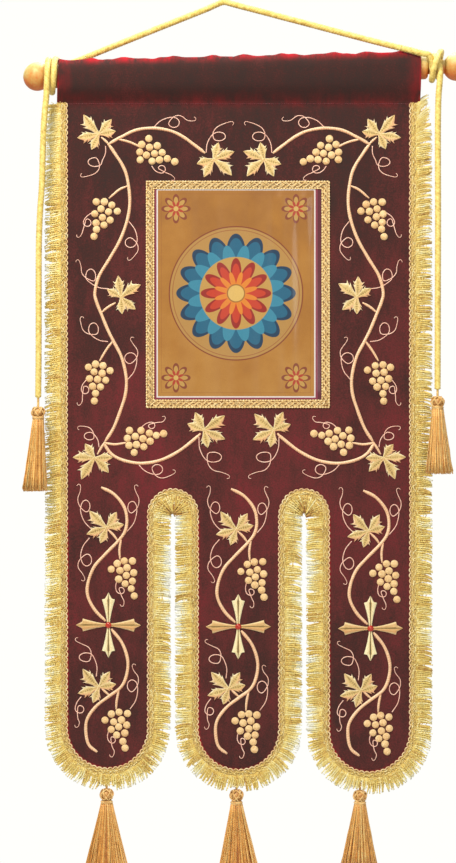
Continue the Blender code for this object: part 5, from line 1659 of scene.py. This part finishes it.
# how far outside the white line's outer edge a colour starts, from the inside out
PRINT_BORDER = (
    (-0.0010, (0.80, 0.74, 0.70)), (0.0012, (0.235, 0.030, 0.052)), (0.0052, (0.100, 0.010, 0.018)),
)


def picture_look():
    """A printed ornament of petals on an ochre ground, inside a thin white line."""
    look = Look("printed picture", {"Roughness": 0.42, "Specular IOR Level": 0.35, "Coat Weight": 0.22,
                                    "Coat Roughness": 0.12})
    x, _y, z = look.axes()
    x = look.less(x, PICTURE_CENTRE_X + PRINT_LINE[0])
    z = look.less(z, PICTURE_CENTRE_Z + PRINT_LINE[1])
    ground = look.scaled(look.noise(16.0, 4.0), 0.7, look.scaled(z, -0.8, 0.15))
    colour = look.ramp(ground, ((0.25, 0.300, 0.120, 0.018), (0.50, 0.390, 0.168, 0.024),
                                (0.78, 0.475, 0.235, 0.048)))

    def below(value, edge):
        return look.times(look.less(edge, value), EDGE_GAIN)

    def paint(share, tint):
        nonlocal colour
        share = look.smaller(look.larger(share, 0.0), 1.0)
        colour = look.mix(share, colour, tint)

    def around(across, up):
        """Reach and turn round a middle."""
        squares = look.plus(look.times(across, across), look.times(up, up))
        return look.math("SQRT", squares), look.math("ARCTAN2", up, across)

    def rosette(rows, reach, turn):
        for number, inner, outer, shift, power, tint in rows:
            edge = outer
            if number:
                swing = look.math("COSINE", look.scaled(turn, number / 2, shift))
                swing = look.math("POWER", look.math("ABSOLUTE", swing), power)
                edge = look.scaled(swing, outer - inner, inner)
            paint(below(reach, edge), tint)

    reach, turn = around(x, z)
    paint(below(reach, 0.1215), (0.20, 0.035, 0.012))
    paint(below(reach, 0.1195), (0.43, 0.235, 0.060))
    paint(below(look.math("ABSOLUTE", look.less(reach, 0.1140)), 0.0010), (0.26, 0.055, 0.018))
    rosette(ROSETTE, reach, turn)
    corner_x = look.less(look.math("ABSOLUTE", x), CORNER_X)
    corner_z = look.less(look.math("ABSOLUTE", z), CORNER_Z)
    rosette(CORNER_ROSETTE, *around(corner_x, corner_z))
    far_x = look.less(look.math("ABSOLUTE", x), PRINT_LINE[2])
    far_z = look.less(look.math("ABSOLUTE", z), PRINT_LINE[3])
    far = look.larger(far_x, far_z)
    paint(below(look.math("ABSOLUTE", look.plus(far, 0.0070)), 0.0006), (0.26, 0.070, 0.022))
    for start, tint in PRINT_BORDER:
        paint(look.times(look.less(far, start), EDGE_GAIN), tint)
    dots = look.noise(900.0, 2.0)
    colour = look.mix(look.times(dots, 0.30), colour, (0.20, 0.10, 0.03), "MULTIPLY")
    return look.finish(colour, dots, 0.00010)


PRINT_CREASE = 0.00075


def print_crease(x, z):
    """Soft upright ripples of the print, strongest at its upper right."""
    u = x - PICTURE_CENTRE_X
    v = z - PICTURE_CENTRE_Z
    near = 0.25 + ease(u, 0.02, 0.12) * (0.4 + 0.6 * ease(v, -0.05, 0.14))
    ripple = 1.6 + np.sin(TAU * u / 0.041 + 2.2 * v / 0.19) + 0.6 * np.sin(TAU * u / 0.023 - 3.0 * v)
    edge = (1 - ease(np.abs(u), 0.135, 0.149)) * (1 - ease(np.abs(v), 0.175, 0.188))
    return PRINT_CREASE * near * ripple * edge


PICTURE_CELLS = 70
PICTURE_LIFT = 0.0014
PICTURE_BACK_LIFT = 0.0002


def picture():
    """The printed panel."""
    low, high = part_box("picture_panel")
    x = np.linspace(low.x, high.x, PICTURE_CELLS + 1)
    z = np.linspace(low.z, high.z, PICTURE_CELLS + 1)
    grid_x, grid_z = np.meshgrid(x, z)
    height = PICTURE_LIFT + print_crease(grid_x, grid_z)
    face_points = front(grid_x, grid_z, height)
    shape = Shape()
    shape.grid(face_points)
    back = front(grid_x, grid_z, PICTURE_BACK_LIFT)
    shape.grid(back, turned=True)
    for rows in ((face_points[0], back[0]), (back[-1], face_points[-1]),
                 (back[:, 0], face_points[:, 0]), (face_points[:, -1], back[:, -1])):
        shape.grid(np.array(rows))
    made = shape.make("picture", [picture_look()], "picture_panel", sharp=50, weld=True)
    return made


# distance out from the picture's edge and height of the braid's ground, in millimetres
BRAID_SECTION = ((0.0, 0.1), (0.6, 1.3), (4.0, 1.7), (11.0, 1.7), (14.4, 1.3), (15.0, 0.1))
BRAID_GAP = 0.0003
BRAID_MIDDLE = 0.0075
BRAID_EDGES = (1.3, 13.7)
BRAID_EDGE_RADIUS = 0.00130
BRAID_EDGE_PITCH = 0.0050
BRAID_EDGE_LIFT = 0.0016
BRAID_LIFT = 0.0022
BRAID_SWING = 0.0034
BRAID_PLY_GAP = 0.00135
BRAID_PLY_RADIUS = 0.00092
PICTURE_BRAID_WAVE = 0.0230


def braid_corners(out):
    """Corners of a closed line at a distance out from the picture's edge."""
    wide = PICTURE_WIDTH / 2 + BRAID_GAP + out
    high = PICTURE_HEIGHT / 2 + BRAID_GAP + out
    corners = np.array(((-wide, -high), (-wide, high), (wide, high), (wide, -high), (-wide, -high)))
    return corners + (PICTURE_CENTRE_X, PICTURE_CENTRE_Z)


def picture_braid():
    """A woven braid: two corded edges and crossing threads between them."""
    shape = Shape()
    rows = []
    t = np.arange(48)[:, None] / 48
    for out, height in BRAID_SECTION:
        corners = braid_corners(out * MM)
        parts = [start + (end - start) * t for start, end in zip(corners, corners[1:])]
        line = np.vstack(parts + [corners[-1:]])
        rows.append(front(line[:, 0], line[:, 1], height * MM))
    shape.grid(np.array(rows), lengths(rows[2])[None], 0.0, 0.20, look=1, turned=True)
    rng = np.random.default_rng(12)
    for out in BRAID_EDGES:
        line = evenly(braid_corners(out * MM), 0.0010)
        bump = np.sin(TAU * lengths(line) / BRAID_EDGE_PITCH)
        path = front(line[:, 0], line[:, 1], BRAID_EDGE_LIFT + 0.0003 * bump)
        radius = BRAID_EDGE_RADIUS * (1 + 0.34 * bump)
        # painted light: each bead is lighter on its raised crest, and shaded towards LIT_FROM
        shape.sweep(path, radius, 5, tone=(0.52 + 0.20 * bump)[None], shade=0.20)
    for strand in range(2):
        for ply in (-1, 0, 1):
            line = evenly(braid_corners(BRAID_MIDDLE), 0.0022)
            run = lengths(line)
            direction = unit(np.gradient(line, axis=0))
            out = np.stack([-direction[:, 1], direction[:, 0]], axis=1)
            turn = TAU * run / PICTURE_BRAID_WAVE + math.pi * strand + 0.5 * drift(run, 0.03, rng)
            waver = 0.0005 * drift(run, 0.004, rng)
            line = line + out * (BRAID_SWING * np.sin(turn) + BRAID_PLY_GAP * ply + waver)[:, None]
            height = BRAID_LIFT + 0.0007 * np.cos(turn) - 0.0003 * abs(ply)
            path = front(line[:, 0], line[:, 1], height)
            tone = 0.58 + 0.30 * drift(run, 0.0035, rng) - 0.10 * abs(ply)
            # painted shade round each ply, lighter towards LIT_FROM
            shape.sweep(path, BRAID_PLY_RADIUS, 3, tone=tone[None], shade=0.25)
    return shape.make("picture_braid", [looks["braid"], looks["braid ground"]], "picture_braid")


# Rod and balls

TURNED_SIDES = 56
NECK_ROUND = 0.006
# distance in from the rod's left end and how much thinner it is there
ROD_CHAMFER = ((0.0, 0.0022), (0.0004, 0.0008), (0.0020, 0.0))
TURNED_TIP = 0.0001
BALL_STEPS = 40
GROOVE_DEPTH = 0.00025


def turned(name, profile):
    """A piece turned about the rod's centre line from rows of x and radius."""
    profile = np.array(profile)
    turn = TAU * np.arange(TURNED_SIDES) / TURNED_SIDES
    rows = []
    for x, radius in profile:
        y = radius * np.cos(turn)
        z = rod_centre_z(x) + radius * np.sin(turn)
        rows.append(np.stack([np.full(TURNED_SIDES, x), y, z], axis=1))
    shape = Shape()
    run = lengths(profile)[:, None]
    # painted light: the tone is highest on top of the turned piece and lowest underneath
    shape.grid(np.array(rows), run, 0.0, 0.5 + 0.5 * np.sin(turn), closed=True, turned=True)
    shape.make(name, [looks["gilt"]], name, sharp=50)


def rod_and_balls():
    """The gilt rod with its neck, and a turned ball at each end."""
    low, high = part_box("rod")
    left = low.x
    right = high.x
    profile = [(left, TURNED_TIP)]
    profile += [(left + inward, ROD_RADIUS - thinner) for inward, thinner in ROD_CHAMFER]
    profile += [(x, ROD_RADIUS) for x in np.linspace(left + 0.02, NECK_LEFT_X - NECK_ROUND, 30)]
    for angle in (75, 60, 45, 30, 15, 0):
        turn = math.radians(angle)
        x = NECK_LEFT_X - NECK_ROUND * (1 - math.cos(turn))
        profile.append((x, ROD_RADIUS - NECK_ROUND * (1 - math.sin(turn))))
    profile += [(NECK_LEFT_X, NECK_RADIUS + 0.001), (NECK_LEFT_X + 0.001, NECK_RADIUS),
                (right - 0.001, NECK_RADIUS), (right, NECK_RADIUS), (right, TURNED_TIP)]
    turned("rod", profile)
    for name, inward in (("ball_left", 1), ("ball_right", -1)):
        low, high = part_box(name)
        flat_x = high.x if inward > 0 else low.x
        centre_x = low.x + BALL_RADIUS if inward > 0 else high.x - BALL_RADIUS
        start = math.acos(abs(flat_x - centre_x) / BALL_RADIUS)
        profile = [(flat_x, TURNED_TIP)]
        for k in range(BALL_STEPS + 1):
            angle = start + (math.pi - start) * k / BALL_STEPS
            groove = GROOVE_DEPTH * math.exp(-((angle - math.pi * 0.93) / 0.02) ** 2)
            radius = max(TURNED_TIP, (BALL_RADIUS - groove) * math.sin(angle))
            profile.append((centre_x + inward * BALL_RADIUS * math.cos(angle), radius))
        if inward < 0:
            profile = profile[::-1]
        turned(name, profile[::-1])


add_camera()
left_route, top_route, right_route = cord_routes()
tassels = [tassel(row, 40 + k) for k, row in enumerate(TASSELS)]
cord("cord_left", left_route, TASSELS[0][2])
cord("cord_top", top_route)
cord("cord_right", right_route, TASSELS[1][2])
add_surroundings()
add_floor()
rod_and_balls()
cloth = velvet()
trim = fringe_strands() + [gimp_ground()] + gimp_threads() + [seam_stitches()]
needlework()
picture()
frame_braid = picture_braid()

SLEEVE_WRAP = 0.150
flat_area = 2 * HALF_WIDTH * (SEAM_Z - ARCH_SPRING_Z + SLEEVE_WRAP)
flat_area += 6 * LAPPET_RADIUS * (ARCH_SPRING_Z - LAPPET_CENTRE_Z)
flat_area += 1.5 * math.pi * LAPPET_RADIUS ** 2 - math.pi * SLOT_RADIUS ** 2
